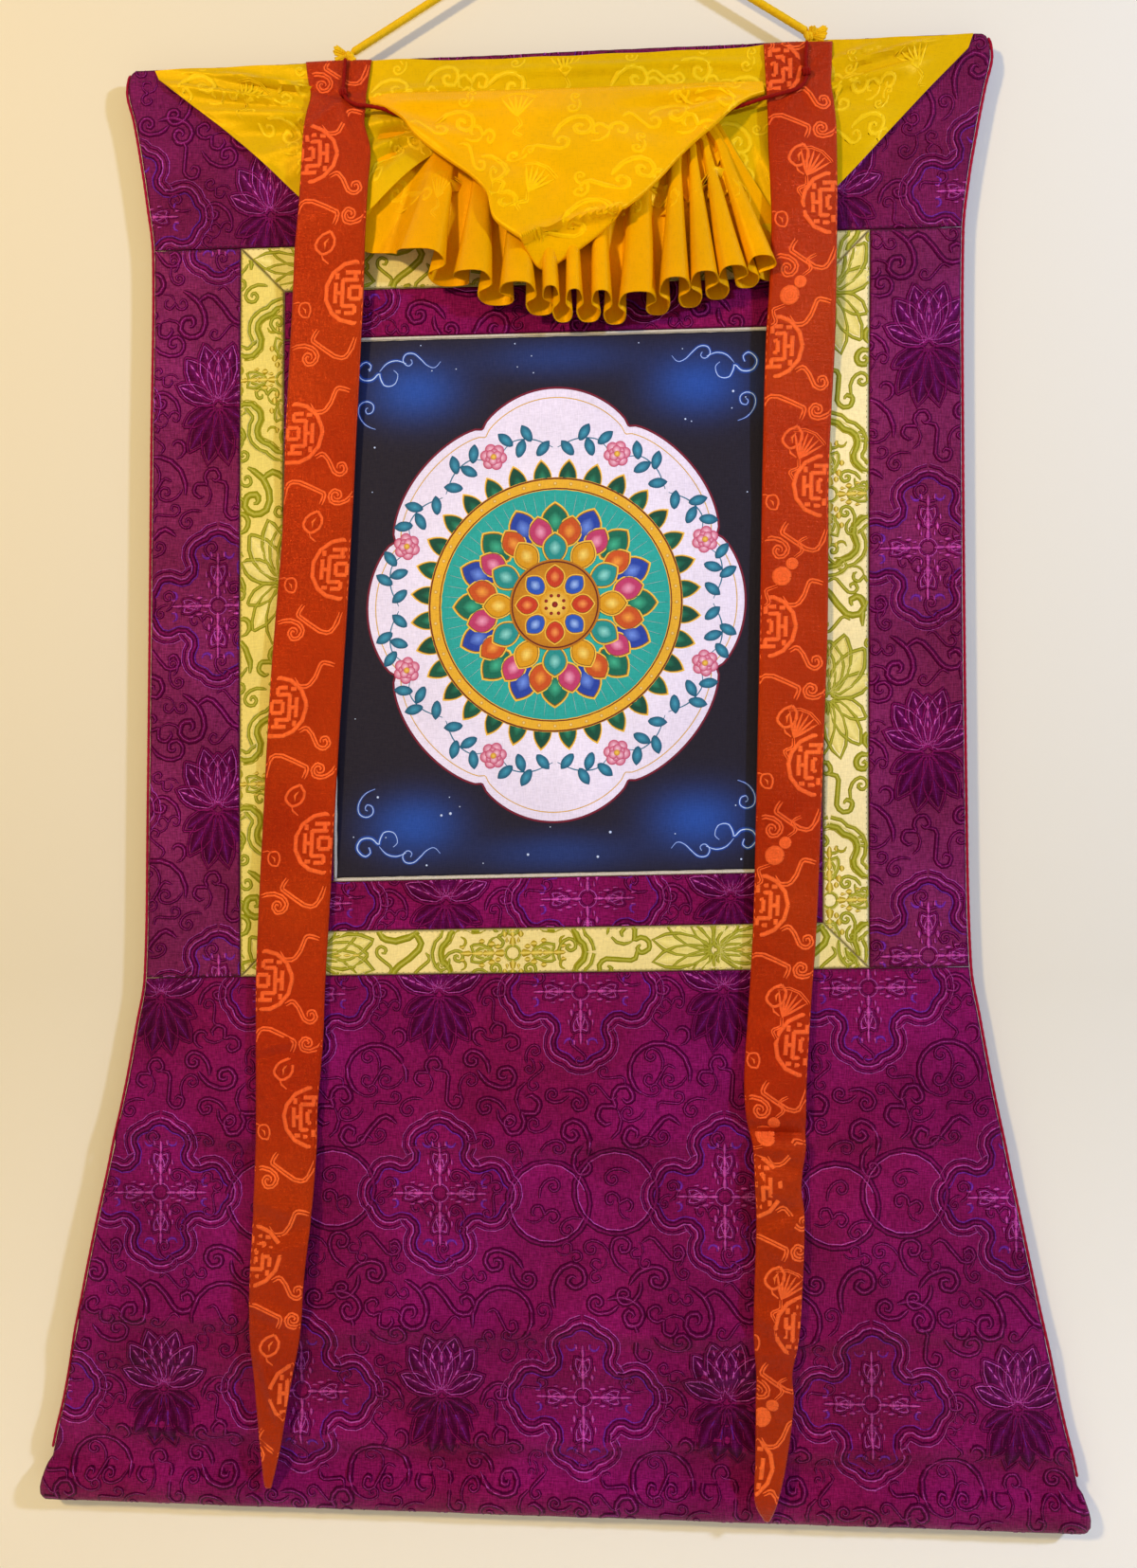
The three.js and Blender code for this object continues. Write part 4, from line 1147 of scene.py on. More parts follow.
def petals(count, start, near, far, wide, layer, *colours):
    """A ring of petals: a gold rim, the petal's colour, and its lighter heart."""
    outline = petal_outline(near, far, wide)
    heart = np.array((0, -lerp(near, far, 0.5)))
    for k, matrix in enumerate(round_of(count, start)):
        deep, light = colours[k % len(colours)]
        for scale, step, middle, rim in ((1.0, 0, LIGHT_GOLD, LIGHT_GOLD), (0.90, 1, deep, GOLD),
                                         (0.84, 2, deep, deep), (0.5, 3, light, deep)):
            painted((heart + (outline - heart) * scale) @ matrix, heart @ matrix, layer + step,
                    middle, rim)


print("points round a circle:", len(circle))

# %% The field and the flower
UNTURNED = turning(0)
RIM = ("5a1a10", "8a3a14")
lobes = np.linspace(0, 2 * math.pi, 193)
lobed = 138 + 12 * np.abs(np.cos(lobes * 4)) ** 0.6 + 22 * np.abs(np.sin(lobes)) ** 6
field = np.stack([lobed * np.cos(lobes), lobed * np.sin(lobes)], 1)
painted(field, (0, 0), 0, "f4eef2", "ece2ee")
brushed(field, 1.8, 1, "5c0f22", "8c1c34")
brushed(field * 0.955, 0.8, 1, "c9962b", "f0c64e")
# dark leaves behind the flower, then a band of gold with dots
petals(32, 5.6, 84, 116, 15, 1, ("0b4a34", "1f7a55"), ("10573c", "2c9068"))
painted(circle * 101, (0, 0), 5, "e0a41e", "e8b02a")
brushed(circle * 100, 1.2, 6, *RIM)
for matrix in round_of(48):
    dotted(0, -96, 1.5, matrix, 6, "fbe58a", "c8881a", 8)
brushed(circle * 92, 1.0, 6, *RIM)
painted(circle * 91, (0, 0), 6, "2fb5a4", "25a595")
for matrix in round_of(64):
    brushed(np.array([(0, -70), (0, -80), (0, -89)]) @ matrix, 0.7, 7, "0f6a60", "c7efe2", "leaf")
petals(16, 0, 50, 82, 23, 8, ("0d6a4e", "3fb487"), ("24419c", "6f92e0"))
petals(16, 11.25, 46, 72, 20, 11, ("c8521a", "f2a13c"), ("be3a66", "f0a0b8"))
petals(12, 0, 32, 58, 20, 15, ("1f8f86", "8fdccb"), ("d99a12", "f8dc6a"))
painted(circle * 36, (0, 0), 19, "e8a81c", "b87410")
brushed(circle * 34, 1.2, 20, "5a1a10", "7a2a14")
petals(8, 0, 12, 32, 16, 20, ("c63a1a", "f59a4a"), ("2a55b0", "9fc2f0"))
painted(circle * 12, (0, 0), 24, "f8dc6a", "d99a12")
for matrix in round_of(8, 22.5):
    dotted(0, -7.5, 1.4, matrix, 25, "9c2a16", "7a1a10")
dotted(0, 0, 2.4, UNTURNED, 25, "9c2a16", "7a1a10")
print("painted shapes so far:", len(paint_layers))

# %% The wreath of leaves and blossoms
LEAF_DARK, LEAF_LIGHT = "14506a", "3f9ab0"
for matrix in round_of(8, 22.5):
    for sign in (-1, 1):
        stem = spread([(sign * 4, -126), (sign * 18, -133), (sign * 34, -128), (sign * 46, -116)], 30)
        brushed(stem @ matrix, 1.1, 1, LEAF_DARK, LEAF_LIGHT, "comma")
        for x, y, lean in ((14, -136, -28), (22, -125, 40), (31, -134, -8), (38, -118, 62)):
            leaf = petal_outline(-7, 8.5, 8) @ turning(lean * sign)
            spot = np.array((x * sign, y))
            painted((leaf + spot) @ matrix, spot @ matrix, 2, LEAF_LIGHT, LEAF_DARK)
    for ring, (away, size) in enumerate(((6.2, 4.6), (3.2, 3.6))):
        for k in range(6):
            x, y = np.array((0, -away)) @ turning(60 * k + 30 * ring)
            dotted(x, y - 128, size, matrix, 3 + k % 2 + 2 * ring, "f9ccd8", "c33a62")
    dotted(0, -128, 2.4, matrix, 8, "f6d25a", "d08a1a")
print("painted shapes with the wreath:", len(paint_layers))

# %% The corners: clouds and pearls
CORNER_CLOUDS = ((141, 187, 1.15, 20, 2), (108, 196, 0.8, -10, 1), (151, 154, 0.75, 80, 0))
draw = np.random.default_rng(5)
for corner in ((-1, -1), (-1, 1), (1, -1), (1, 1)):
    for x, y, size, turn, kind in CORNER_CLOUDS:
        for s in placed(CLOUDS[kind], x, y, turn, size):
            look = (1, "1d3f8c", "4a78c8") if s["kind"] == "band" else (2, "b9d2f2", "dbe8fa")
            brushed(s["path"] * corner, 2 * float(s["half"].max()), *look, "comma")
for _ in range(120):
    x, y = (draw.random(2) * 2 - 1) * (166, 208)
    if math.hypot(x, y) > 172:
        dotted(x, y, 0.5 + 0.8 * draw.random() ** 3, UNTURNED, 0.4, "dfe8f5", "a9bfe0", 8)
laid("painting_paint", laid_on(canvas, paint_layers), CANVAS, "canvas")


# %% [markdown]
# ## Piping and edge cords
# A cream cord is sewn round the painting, and a thin red one along the mount's outer edges.
# Both are laid cords that follow the cloth's border, so each is a rope along a line of places
# on the hanging mount.

# %% Cords that are sewn on
def sewn_cord(node_name, ending, across, down, radius, pitch, *look):
    """Two strands along a line of places on the mount, a touch thicker than the measured cord."""
    path = evenly(Panel.place(across, down, stand(across, down)), 1.3)
    made = cord_piece(node_name + ending, rope(path, radius + 0.1, 2, pitch=pitch), *look)
    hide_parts(node_name)


cord_half = PICTURE["half"] + PIPING / 2
level_run = np.linspace(-cord_half - PIPING / 2, cord_half + PIPING / 2, 60)
fall_run = np.linspace(PICTURE["top"] + gap, PICTURE["bottom"] - gap, 60)
for side, across, down in (("top", level_run, PICTURE["top"] - PIPING / 2 + 0 * level_run),
                           ("bottom", level_run, PICTURE["bottom"] + PIPING / 2 + 0 * level_run),
                           ("left", -cord_half + 0 * fall_run, fall_run),
                           ("right", cord_half + 0 * fall_run, fall_run)):
    sewn_cord("piping_" + side, "_cord", across, down, PIPING / 2, 3.6,
              "cfc6ae", CREAM_CORD, "cream_piping")
edge_run = np.linspace(3, 1115, 300)
for side, sign in (("left", -1), ("right", 1)):
    sewn_cord("edge_cord_" + side, "_twine", sign * (edge_at(edge_run) - EDGE_CORD / 2), edge_run,
              EDGE_CORD / 2, 7.0, "9c1430", RED_CORD, "red_cord")
print("sewn cords: 6")


# %% [markdown]
# ## The streamers
# Two long strips of red brocade hang in front, folded flat to two layers with soft edges, and
# folded to a point at the foot. Each is a rule like a panel's: its edges come from a short
# table, its face bows a little, and small creases are pressed into it. The figures are laid
# on it in the strip's own straight measure, so the point cuts them as scissors would.

# %% The streamers' edges
# z, left, right, out
STREAMER_EDGES = {
    "streamer_left": [
        (-119, -227, -174, 4.8), (-134, -225, -176, 6), (-147, -222.5, -177.5, 8),
        (-160, -224.5, -177.5, 11), (-174, -226.5, -178, 13.5), (-196, -227.5, -173, 16),
        (-223, -228.5, -174.5, 18.5), (-250, -230.5, -176, 19), (-275, -234, -178, 15.5),
        (-310, -237, -180, 11), (-345, -239.5, -182.5, 9), (-418, -244, -187, 7.5),
        (-492, -247, -191, 7), (-565, -253, -195.5, 7.5), (-642, -259, -201, 7),
        (-757, -265.5, -208, 7), (-849, -270, -214, 6.5), (-899, -270, -215.5, 8.5),
        (-948, -270.5, -220, 7), (-985, -270.5, -221, 7.5), (-1040, -272, -225.5, 9),
        (-1085, -274, -230.5, 10.5), (-1130, -274.5, -234, 9.5), (-1172, -270.5, -242, 9),
        (-1215, -266.5, -249, 10), (-1246, -263, -256, 13), (-1251, -260.5, -258, 12.5)],
    "streamer_right": [
        (-117, 135, 188.5, 4.8), (-138, 136, 187.5, 6.5), (-152, 136.5, 187, 7.5),
        (-165, 137, 188.5, 9), (-181, 137.5, 190, 10.5), (-198, 137.5, 190.5, 11.5),
        (-235, 139, 190.5, 13), (-265, 139.5, 190, 14), (-308, 138, 189.5, 12),
        (-358, 135, 188.5, 9), (-451, 132.5, 184, 7), (-571, 130, 182.5, 7),
        (-675, 127.5, 178.5, 7), (-798, 124, 173.5, 6.5), (-866, 120, 168.5, 8),
        (-922, 116, 164.5, 10.5), (-952, 117, 163.5, 12), (-966, 120, 163.5, 8),
        (-979, 122.5, 163, 11.5), (-1007, 123.5, 159.5, 12.5), (-1037, 124.5, 162, 11),
        (-1116, 122, 158, 11.5), (-1152, 124, 152, 10), (-1174, 123.5, 153, 10),
        (-1217, 123, 147.5, 10.5), (-1249, 122, 140, 13), (-1264, 128.5, 135, 13),
        (-1267, 130.5, 133, 13)],
}
STREAMER_THICK = 2.4
STRIP_TURN = (1.05, 1.9)  # how deep and how wide a strip's soft edge is
# creases on a strip: from across, down to across, down, then depth and width
STREAMER_CREASES = {
    "streamer_left": [
        (2, 33, -24, 4, -0.9, 3), (2, 33, 18, 2, -0.8, 3), (2, 33, -25, 22, -0.8, 3),
        (2, 33, 24, 24, -0.7, 3), (2, 35, -20, 60, 0.8, 4), (2, 35, 15, 70, 0.8, 4),
        (-26, 786, 8, 776, 0.9, 4), (-20, 794, 25, 786, -0.8, 3), (-28, 640, 10, 646, 0.5, 5),
        (-25, 905, 20, 915, 0.7, 6), (-22, 940, 18, 928, -0.6, 5), (-20, 985, 14, 1000, 0.8, 5),
        (-10, 1030, 8, 1080, 0.8, 4), (-26, 300, 20, 318, 0.4, 8), (-20, 130, 24, 118, 0.7, 7),
        (-24, 170, 20, 182, -0.5, 7)],
    "streamer_right": [
        (2, 27, -24, 2, -0.9, 3), (2, 27, 22, 3, -0.8, 3), (2, 27, -25, 20, -0.8, 3),
        (2, 27, 25, 16, -0.7, 3), (2, 29, -18, 64, 0.8, 4), (2, 29, 17, 60, 0.7, 4),
        (-24, 846, 24, 852, -1.8, 4), (-22, 858, 20, 866, 1.2, 5), (-18, 872, 22, 880, -0.9, 4),
        (-20, 884, 10, 900, 1.0, 5), (-14, 918, 18, 906, -0.8, 5), (-12, 936, 14, 950, 0.8, 6),
        (-16, 985, 12, 1010, 0.7, 6), (-10, 1040, 9, 1070, 0.8, 5), (-22, 770, 20, 782, 0.5, 7),
        (-24, 90, 22, 104, -0.5, 7), (-20, 140, 24, 128, 0.6, 8), (-22, 420, 22, 436, 0.4, 9)],
}
# the lower half is limp: slanting creases every 54 mm, each a little unlike the last
for k in range(10):
    low = 600 + 54 * k + 9 * math.sin(2.1 * k)
    for name, lean in (("streamer_left", 16), ("streamer_right", -18)):
        STREAMER_CREASES[name].append((-25, low, 20, low + lean * math.cos(1.7 * k),
                                       0.4 * (-1) ** k + 0.2 * math.sin(3 * k), 7))


def creased(across, down, lines):
    """How far small creases push the cloth forward."""
    out = 0
    for x0, y0, x1, y1, deep, wide in lines:
        long = math.hypot(x1 - x0, y1 - y0)
        ux, uy = (x1 - x0) / long, (y1 - y0) / long
        run = ((across - x0) * ux + (down - y0) * uy) / long
        off = (across - x0) * -uy + (down - y0) * ux
        beyond = np.maximum(np.maximum(-run, run - 1), 0) * long
        taper = 0.35 + 0.65 * np.sin(np.clip(run, 0, 1) * math.pi)
        ridge = np.exp(-(off / wide) ** 2) - 0.5 * np.exp(-((off - 1.7 * wide) / wide) ** 2)
        out = out + deep * ridge * taper * np.exp(-(beyond / wide) ** 2)
    return out


print("creases on each streamer:", [len(lines) for lines in STREAMER_CREASES.values()])

# %% The rule of a streamer
RED_GROUND = "a02608"


class Streamer:
    """A strip of brocade: across is from its middle line, down from its top."""

    def __init__(self, name):
        self.name = name
        self.rows = spread(STREAMER_EDGES[name], 500)
        self.top = self.rows[0, 0]
        self.long = self.top - self.rows[-1, 0]

    def edges(self, down):
        falls = self.top - self.rows[:, 0]
        return [np.interp(down, falls, self.rows[:, k]) for k in (1, 2, 3)]

    def beside_edge(self, across, down):
        left, right, _ = self.edges(down)
        return (right - left) / 2 - np.abs(across)

    def inside(self, across, down):
        return np.minimum(self.beside_edge(across, down), np.minimum(down, self.long - down))

    def at(self, across, down, raised):
        left, right, out = self.edges(down)
        half = np.maximum((right - left) / 2, 1e-6)
        bow = np.minimum(0.8, half / 20) * (1 - np.clip(across / half, -1, 1) ** 2)
        small = 0.5 * np.sin(down / 31 + across / 19) + 0.3 * np.sin(down / 13 - across / 11)
        fade = np.clip(half / 10, 0, 1) * smoothstep(down, 0, 15)
        limp = 1.2 + 1.3 * smoothstep(down, 650, 950)
        sway = 0.8 * np.sin(down / 44 + across / 26) * smoothstep(down, 550, 900)
        forward = 5 * smoothstep(down, 780, 1120)
        out = out + bow + small * fade * 0.6
        out = out + limp * creased(across, down, STREAMER_CREASES[self.name]) * fade + raised
        out = out + (sway + forward) * fade
        return np.stack([(left + right) / 2 + across, -out, self.top - down], -1)

    def lift(self, across, down, height):
        turned = turned_back(self.inside(across, down), *STRIP_TURN)
        return self.at(across, down, STREAMER_THICK / 2 - turned + height)

    def sheet(self):
        """The closed strip, as an object that stands for its node."""
        falls = np.concatenate([np.linspace(0, 60, 36)[:-1], np.linspace(60, self.long - 8, 260)[:-1],
                                np.linspace(self.long - 8, self.long, 8)])
        near = np.array([0, 0.012, 0.03, 0.055])
        shares = np.concatenate([near, np.linspace(0.1, 0.9, 17), 1 - near[::-1]]) * 2 - 1
        share, down = np.meshgrid(shares, falls)
        left, right, _ = self.edges(down)
        across = share * (right - left) / 2
        turned = turned_back(self.beside_edge(across, down), *STRIP_TURN)
        points, faces = slab(self.lift(across, down, 0 * across),
                             self.at(across, down, turned - STREAMER_THICK / 2))
        uv = np.tile(np.stack([across.ravel(), down.ravel()], 1), (2, 1))
        made = piece(self.name + "_cloth", points, faces, RED_CLOTH, "red_brocade", RED_GROUND, uv)
        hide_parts(self.name)
        return made


streamers = [Streamer("streamer_left"), Streamer("streamer_right")]
print("streamers, mm long:", [round(float(strip.long)) for strip in streamers])

# %% [markdown]
# ## The streamers' figures
# Rounds of key fret, leaves, ribbons and scrolls are woven into the red in a lighter thread,
# and one streamer shows gourds and fans too. The rounds lie by turns near one edge and the
# other. A repeat is placed again and again down the strip, which cuts what passes its edge.

# %% The streamers' figures
RED_LOOKS = {
    "band": (SOLID_PROFILE, 0.28, "8c1a04", "f8662c"),
    "thread": (THREAD_PROFILE, 0.32, "d84c10", "ff7a38"),
}


def double_line(path, apart=2.3, wide=1.3):
    path = np.asarray(path, float)
    return [stroke(beside(path, aside), wide, "band") for aside in (apart / 2, -apart / 2)]


def fret_roundel():
    """A round of key fret: a ring with nested squares and bars, of no meaning."""
    def bars(*lines):
        return [stroke(((x0, y0), (x1, y1)), 2.7, "band", "ring", 1.5) for x0, y0, x1, y1 in lines]
    found = [stroke(arc(0, 0, 23.5), 2.7, "band", "ring")]
    found += bars((-4.5, -4.5, 4.5, -4.5), (4.5, -4.5, 4.5, 4.5), (4.5, 4.5, -4.5, 4.5),
                  (-4.5, 4.5, -4.5, -4.5))
    side = bars((-10.5, -10, 10.5, -10), (0, -10, 0, -15.5), (-8, -15.5, 8, -15.5),
                (-14.5, -15, -14.5, -10.5))
    for k in range(4):
        found += placed(side, 0, 0, 90 * k)
    return found


def leaf_drop():
    outline = spread([(0, -10), (6, -5), (6, 3), (0, 8), (-7, 4), (-6, -4), (0, -10)], 40)
    return [stroke(outline, 1.8, "band", "ring"),
            stroke([(1, -5), (-1, 0), (1, 4)], 1.6, "thread", "leaf"),
            stroke([(0, 8), (3, 12), (8, 13)], 1.5, "band", "comma")]


def gourd():
    found = []
    for x, y, size in ((0, 0, 7.2), (6, -11, 4.6)):
        for share in (0.2, 0.5, 0.8):
            found.append(stroke(arc(x, y, size * share), size * 0.42, "band", "ring", 1.4))
    found += double_line(spread([(7, -16), (12, -22), (8, -28), (14, -33)], 24), 1.6, 1.0)
    found += double_line(spread([(-2, 8), (-10, 13), (-6, 22), (-14, 28)], 24), 1.8, 1.0)
    return found


def feather_fan():
    found = []
    for k in range(6):
        lean = math.radians(-35 + 14 * k)
        tip = np.array((math.sin(lean), -math.cos(lean))) * 24
        found.append(stroke([(0, 0), tip * 0.6, tip], 2.2, "band", "leaf", 1.6))
    rim = [(24 * math.sin(math.radians(a)), -24 * math.cos(math.radians(a)) - 1.5)
           for a in range(-40, 41, 8)]
    found += double_line(rim, 1.8, 0.9)
    found += double_line(spread([(0, 0), (3, 7), (-2, 13), (4, 18)], 20), 1.8, 1.1)
    return found


RIBBON_A = spread([(-12, -14), (-16, -6), (-8, 0), (0, 6), (10, 8), (16, 0), (18, -8)], 50)
RIBBON_B = spread([(14, -12), (4, -14), (0, -4), (-6, 4), (-14, 4), (-18, -2)], 50)
REPEAT = 217


def streamer_unit(gourds):
    """One repeat of a streamer's figures."""
    found = []
    for figure, x, y, turn, size in (
            (fret_roundel(), 22, 0, 0, 1), (fret_roundel(), -22, 109, 0, 1),
            (double_line(RIBBON_A), 6, 42, 0, 1), (double_line(RIBBON_B), 8, 88, 0, 1),
            (double_line(HOOK * 0.7), -14, 46, 40, 1), (double_line(WAVE * 0.7), 10, 134, 10, 1),
            (leaf_drop(), -3, 180, 20, 1), (double_line(HOOK * 0.6), 18, 160, 180, 1),
            (double_line(RIBBON_A), -12, 154, 170, 1), (leaf_drop(), -18, 12, 150, 0.7)):
        found += placed(figure, x, y, turn, size)
    if gourds:
        found += placed(gourd(), -10, 70, 10) + placed(feather_fan(), 2, 196, 25, 0.9)
    return found


for strip, start, gourds in zip(streamers, (188, 130), (False, True)):
    strip.sheet()
    figures = []
    for k in range(-1, 6):
        figures += placed(streamer_unit(gourds), 0, start + REPEAT * k)
    grids = ribbons(figures, strip, RED_LOOKS, 1.5)
    laid(strip.name + "_figure", laid_on(strip, grids),
                                     RED_CLOTH, "red_brocade")


# %% [markdown]
# ## The silk veil
# A veil of figured yellow silk is sewn along the top. When the picture is shown, it is drawn
# up and held by the red tie: its upper layer stays flat and is pulled into creases by the
# ties, a flap folds down in front, and the long rest hangs behind the flap in deep pleats.
# Each of the three is a grid of smooth lines between a few points that follow the measured
# model, with creases added, and all three are one piece of silk.

# %% Lines of the veil
SILK = 0.8
SEWN_OUT = 2.8
# where a line starts on the top seam, where it ends, and how far forward it ends
VEIL_BACK = [
    (-350, -347, -128, 3.6), (-330, -322, -148, 4), (-300, -288, -175, 5), (-270, -258, -202, 6.5),
    (-245, -234, -226, 9), (-222, -212, -245, 12), (-202, -190, -251, 14.5), (-186, -174, -243, 16),
    (-168, -158, -228, 16.5), (-150, -143, -214, 16), (-132, -129, -203, 14), (-112, -112, -193, 10),
    (-85, -85, -185, 6), (-45, -45, -182, 5), (0, 0, -182, 5), (45, 48, -182, 5), (72, 78, -187, 5),
    (92, 95, -203, 5), (108, 110, -226, 5.5), (124, 125, -250, 6.5), (142, 141, -267, 7.5),
    (160, 158, -262, 7.5), (180, 175, -247, 7), (202, 193, -229, 6), (228, 215, -206, 5),
    (255, 240, -179, 4.5), (278, 264, -154, 4), (297, 293, -125, 3.6),
]
# top across, rim across, rim height, how far forward
FLAP = [
    (-178, -174, -155, 9), (-166, -161, -161, 15),
    (-152, -147, -173, 22), (-140, -138, -186, 25), (-126, -124, -199, 26), (-112, -108, -211, 27),
    (-97, -92, -223, 28), (-82, -80, -237, 29), (-67, -74, -258, 31), (-52, -54, -275, 34),
    (-36, -39, -294, 36), (-20, -20, -287, 37), (-4, 2, -273, 36), (12, 25, -255, 34),
    (28, 42, -241, 31), (44, 56, -226, 28), (59, 68, -212, 26), (74, 82, -198, 24),
    (89, 97, -185, 22), (102, 107, -175, 20), (118, 121, -163, 14), (134, 135, -156, 9),
]
FLAP_TOP = -147
# the pleated hem: across, height, forward, width of the fold's tube, and its gathered end
HEM_FOLDS = [
    (-186, -268, 8, 20, -176, -200), (-166, -272, 9, 16, -146, -198), (-132, -287, 33, 34, -112, -200),
    (-112, -299, 9, 18, -98, -204), (-92, -306, 33, 28, -84, -210), (-74, -315, 9, 16, -70, -216),
    (-56, -315, 35, 26, -57, -222), (-40, -325, 10, 12, -44, -228), (-31, -320, 36, 12, -34, -230),
    (-22, -331, 14, 9, -26, -231), (-12, -323, 37, 12, -16, -232), (-2, -332, 12, 10, -6, -231),
    (8, -324, 36, 14, 6, -229), (18, -332, 10, 10, 20, -224), (36, -327, 36, 27, 38, -217),
    (52, -326, 9, 10, 55, -209), (64, -317, 41, 21, 67, -202), (76, -321, 10, 10, 73, -200),
    (87, -314, 40, 20, 79, -198), (98, -315, 10, 10, 84, -197), (109, -308, 38, 20, 89, -196),
    (120, -308, 11, 10, 94, -197), (131, -299, 31, 20, 100, -198), (152, -300, 6, 26, 112, -202),
]
# creases in the layers: across, depth below the nail, to across, depth, then deep and wide
BACK_CREASES = [
    (-196, 158, -346, 132, 1.3, 4), (-196, 152, -322, 129, -1.2, 4), (-196, 147, -292, 126, 1.3, 4),
    (-196, 140, -262, 124, -1.0, 4), (-198, 165, -312, 156, 1.4, 5), (-198, 172, -290, 176, -1.0, 5),
    (-200, 180, -262, 194, 1.0, 5), (-200, 192, -236, 214, -0.7, 5), (-190, 140, -240, 121, 1.0, 3),
    (-182, 172, -124, 171, 1.0, 4), (-180, 184, -134, 176, -0.9, 4), (-178, 196, -140, 183, 0.9, 4),
    (-176, 212, -150, 192, -0.8, 5), (-180, 150, -110, 142, 0.9, 4), (-120, 134, 60, 128, 0.7, 6),
    (166, 144, 292, 111, 1.4, 4), (166, 150, 272, 121, -1.1, 4), (168, 155, 246, 140, 1.1, 5),
    (168, 162, 236, 164, -0.8, 5), (168, 140, 250, 110, 1.1, 3), (150, 144, 40, 134, -1.1, 5),
    (150, 150, 70, 146, 1.2, 4), (130, 190, 150, 250, 0.8, 6), (-20, 124, 130, 121, -0.5, 5),
]
FLAP_CREASES = [
    (120, 158, -10, 149, 1.4, 4), (118, 161, 24, 170, -1.2, 5), (112, 166, 44, 186, 1.1, 6),
    (104, 172, 70, 196, -0.8, 5), (-150, 160, -60, 158, 1.0, 5), (-150, 167, -84, 186, -1.0, 6),
    (-142, 178, -104, 208, 0.9, 5), (-70, 240, -20, 200, 0.9, 12), (60, 210, 0, 190, 0.8, 10),
    (-60, 165, 40, 175, 0.8, 10), (-90, 200, -30, 230, -0.7, 9),
]
# the crease above the flap's folded tip: across, height
TIP_CREASE = [(-62, -420), (-55, -276), (-27, -266), (-2, -260), (26, -255), (34, -420)]


def veil_back():
    """The upper layer, from the top seam down to where the ties hold it."""
    lines = spread(VEIL_BACK, 230)
    at = np.linspace(0, 1, 42)[:, None]
    top_x, low_x, low_z, out = lines.T
    low = -4.3 + 3.0 * (1 - smoothstep(top_x, -150, -100) + smoothstep(top_x, 120, 150))
    top_z = TOP_EDGE + low + 0.01 * (top_x + 31) + 0.3 * np.sin(top_x / 9)
    x, z = lerp(top_x, low_x, at), lerp(top_z, low_z, at)
    forward = lerp(SEWN_OUT, np.maximum(out, SEWN_OUT), at ** 1.3)
    held = smoothstep(at, 0, 0.12) * (0.3 + 0.7 * smoothstep(1 - at, 0, 0.1))
    forward = forward + held * (3.6 * creased(x, -z, BACK_CREASES)
                                + 0.6 * np.sin(x / 17 + z / 11) + 0.4 * np.sin(x / 7 - z / 13))
    forward = SEWN_OUT + np.log1p(np.exp((forward - SEWN_OUT) * 3)) / 3
    return np.stack([x, -forward, z], -1), top_x


# how the flap's rim turns back under it: steps in x, y and z from the rim
RIM_TURN = ((0, 0.5, -0.9), (0, 1.6, -1.5), (0, 2.7, -1.2), (0, 3.3, 0), (0, 3.6, 4), (0, 4.2, 11))


def veil_flap():
    """The flap that folds down in front, with its rim turned back."""
    lines = spread(FLAP, 200)
    top_x, rim_x, rim_z, out = lines.T
    at = np.linspace(0, 1, 48)[:, None]
    x, z = lerp(top_x, rim_x, at), lerp(FLAP_TOP + 0 * rim_z, rim_z, at)
    forward = lerp(5.0, out, np.sqrt(at))
    crease_at = np.interp(x, *np.array(TIP_CREASE).T)
    below = np.clip(crease_at - z, 0, None)
    forward = forward + 2.8 * np.exp(-((z - crease_at) / 2.6) ** 2) - 0.36 * below
    forward = forward - 4.4 * smoothstep(below, 0.5, 4.0)
    held = smoothstep(at, 0, 0.3) * (0.35 + 0.65 * smoothstep(1 - at, 0, 0.1))
    forward = forward + held * (2.2 * creased(x, -z, FLAP_CREASES) + 1.0 * np.sin(x / 26 + z / 19)
                                + 0.35 * np.sin(x / 9 - z / 15 + 1))
    front = np.stack([x, -forward, z], -1)
    turned = front[-1] + np.array(RIM_TURN)[:, None]
    turned[-1] = lerp(turned[-1], front[-11] + (0, 4.2, 0), 0.5)
    return np.concatenate([front, turned]), top_x


PLEAT_COLUMNS = 400
TUBE_FRONT, TUBE_BACK = 1.08, 1.75  # how much wider than its table row a fold's tube swings


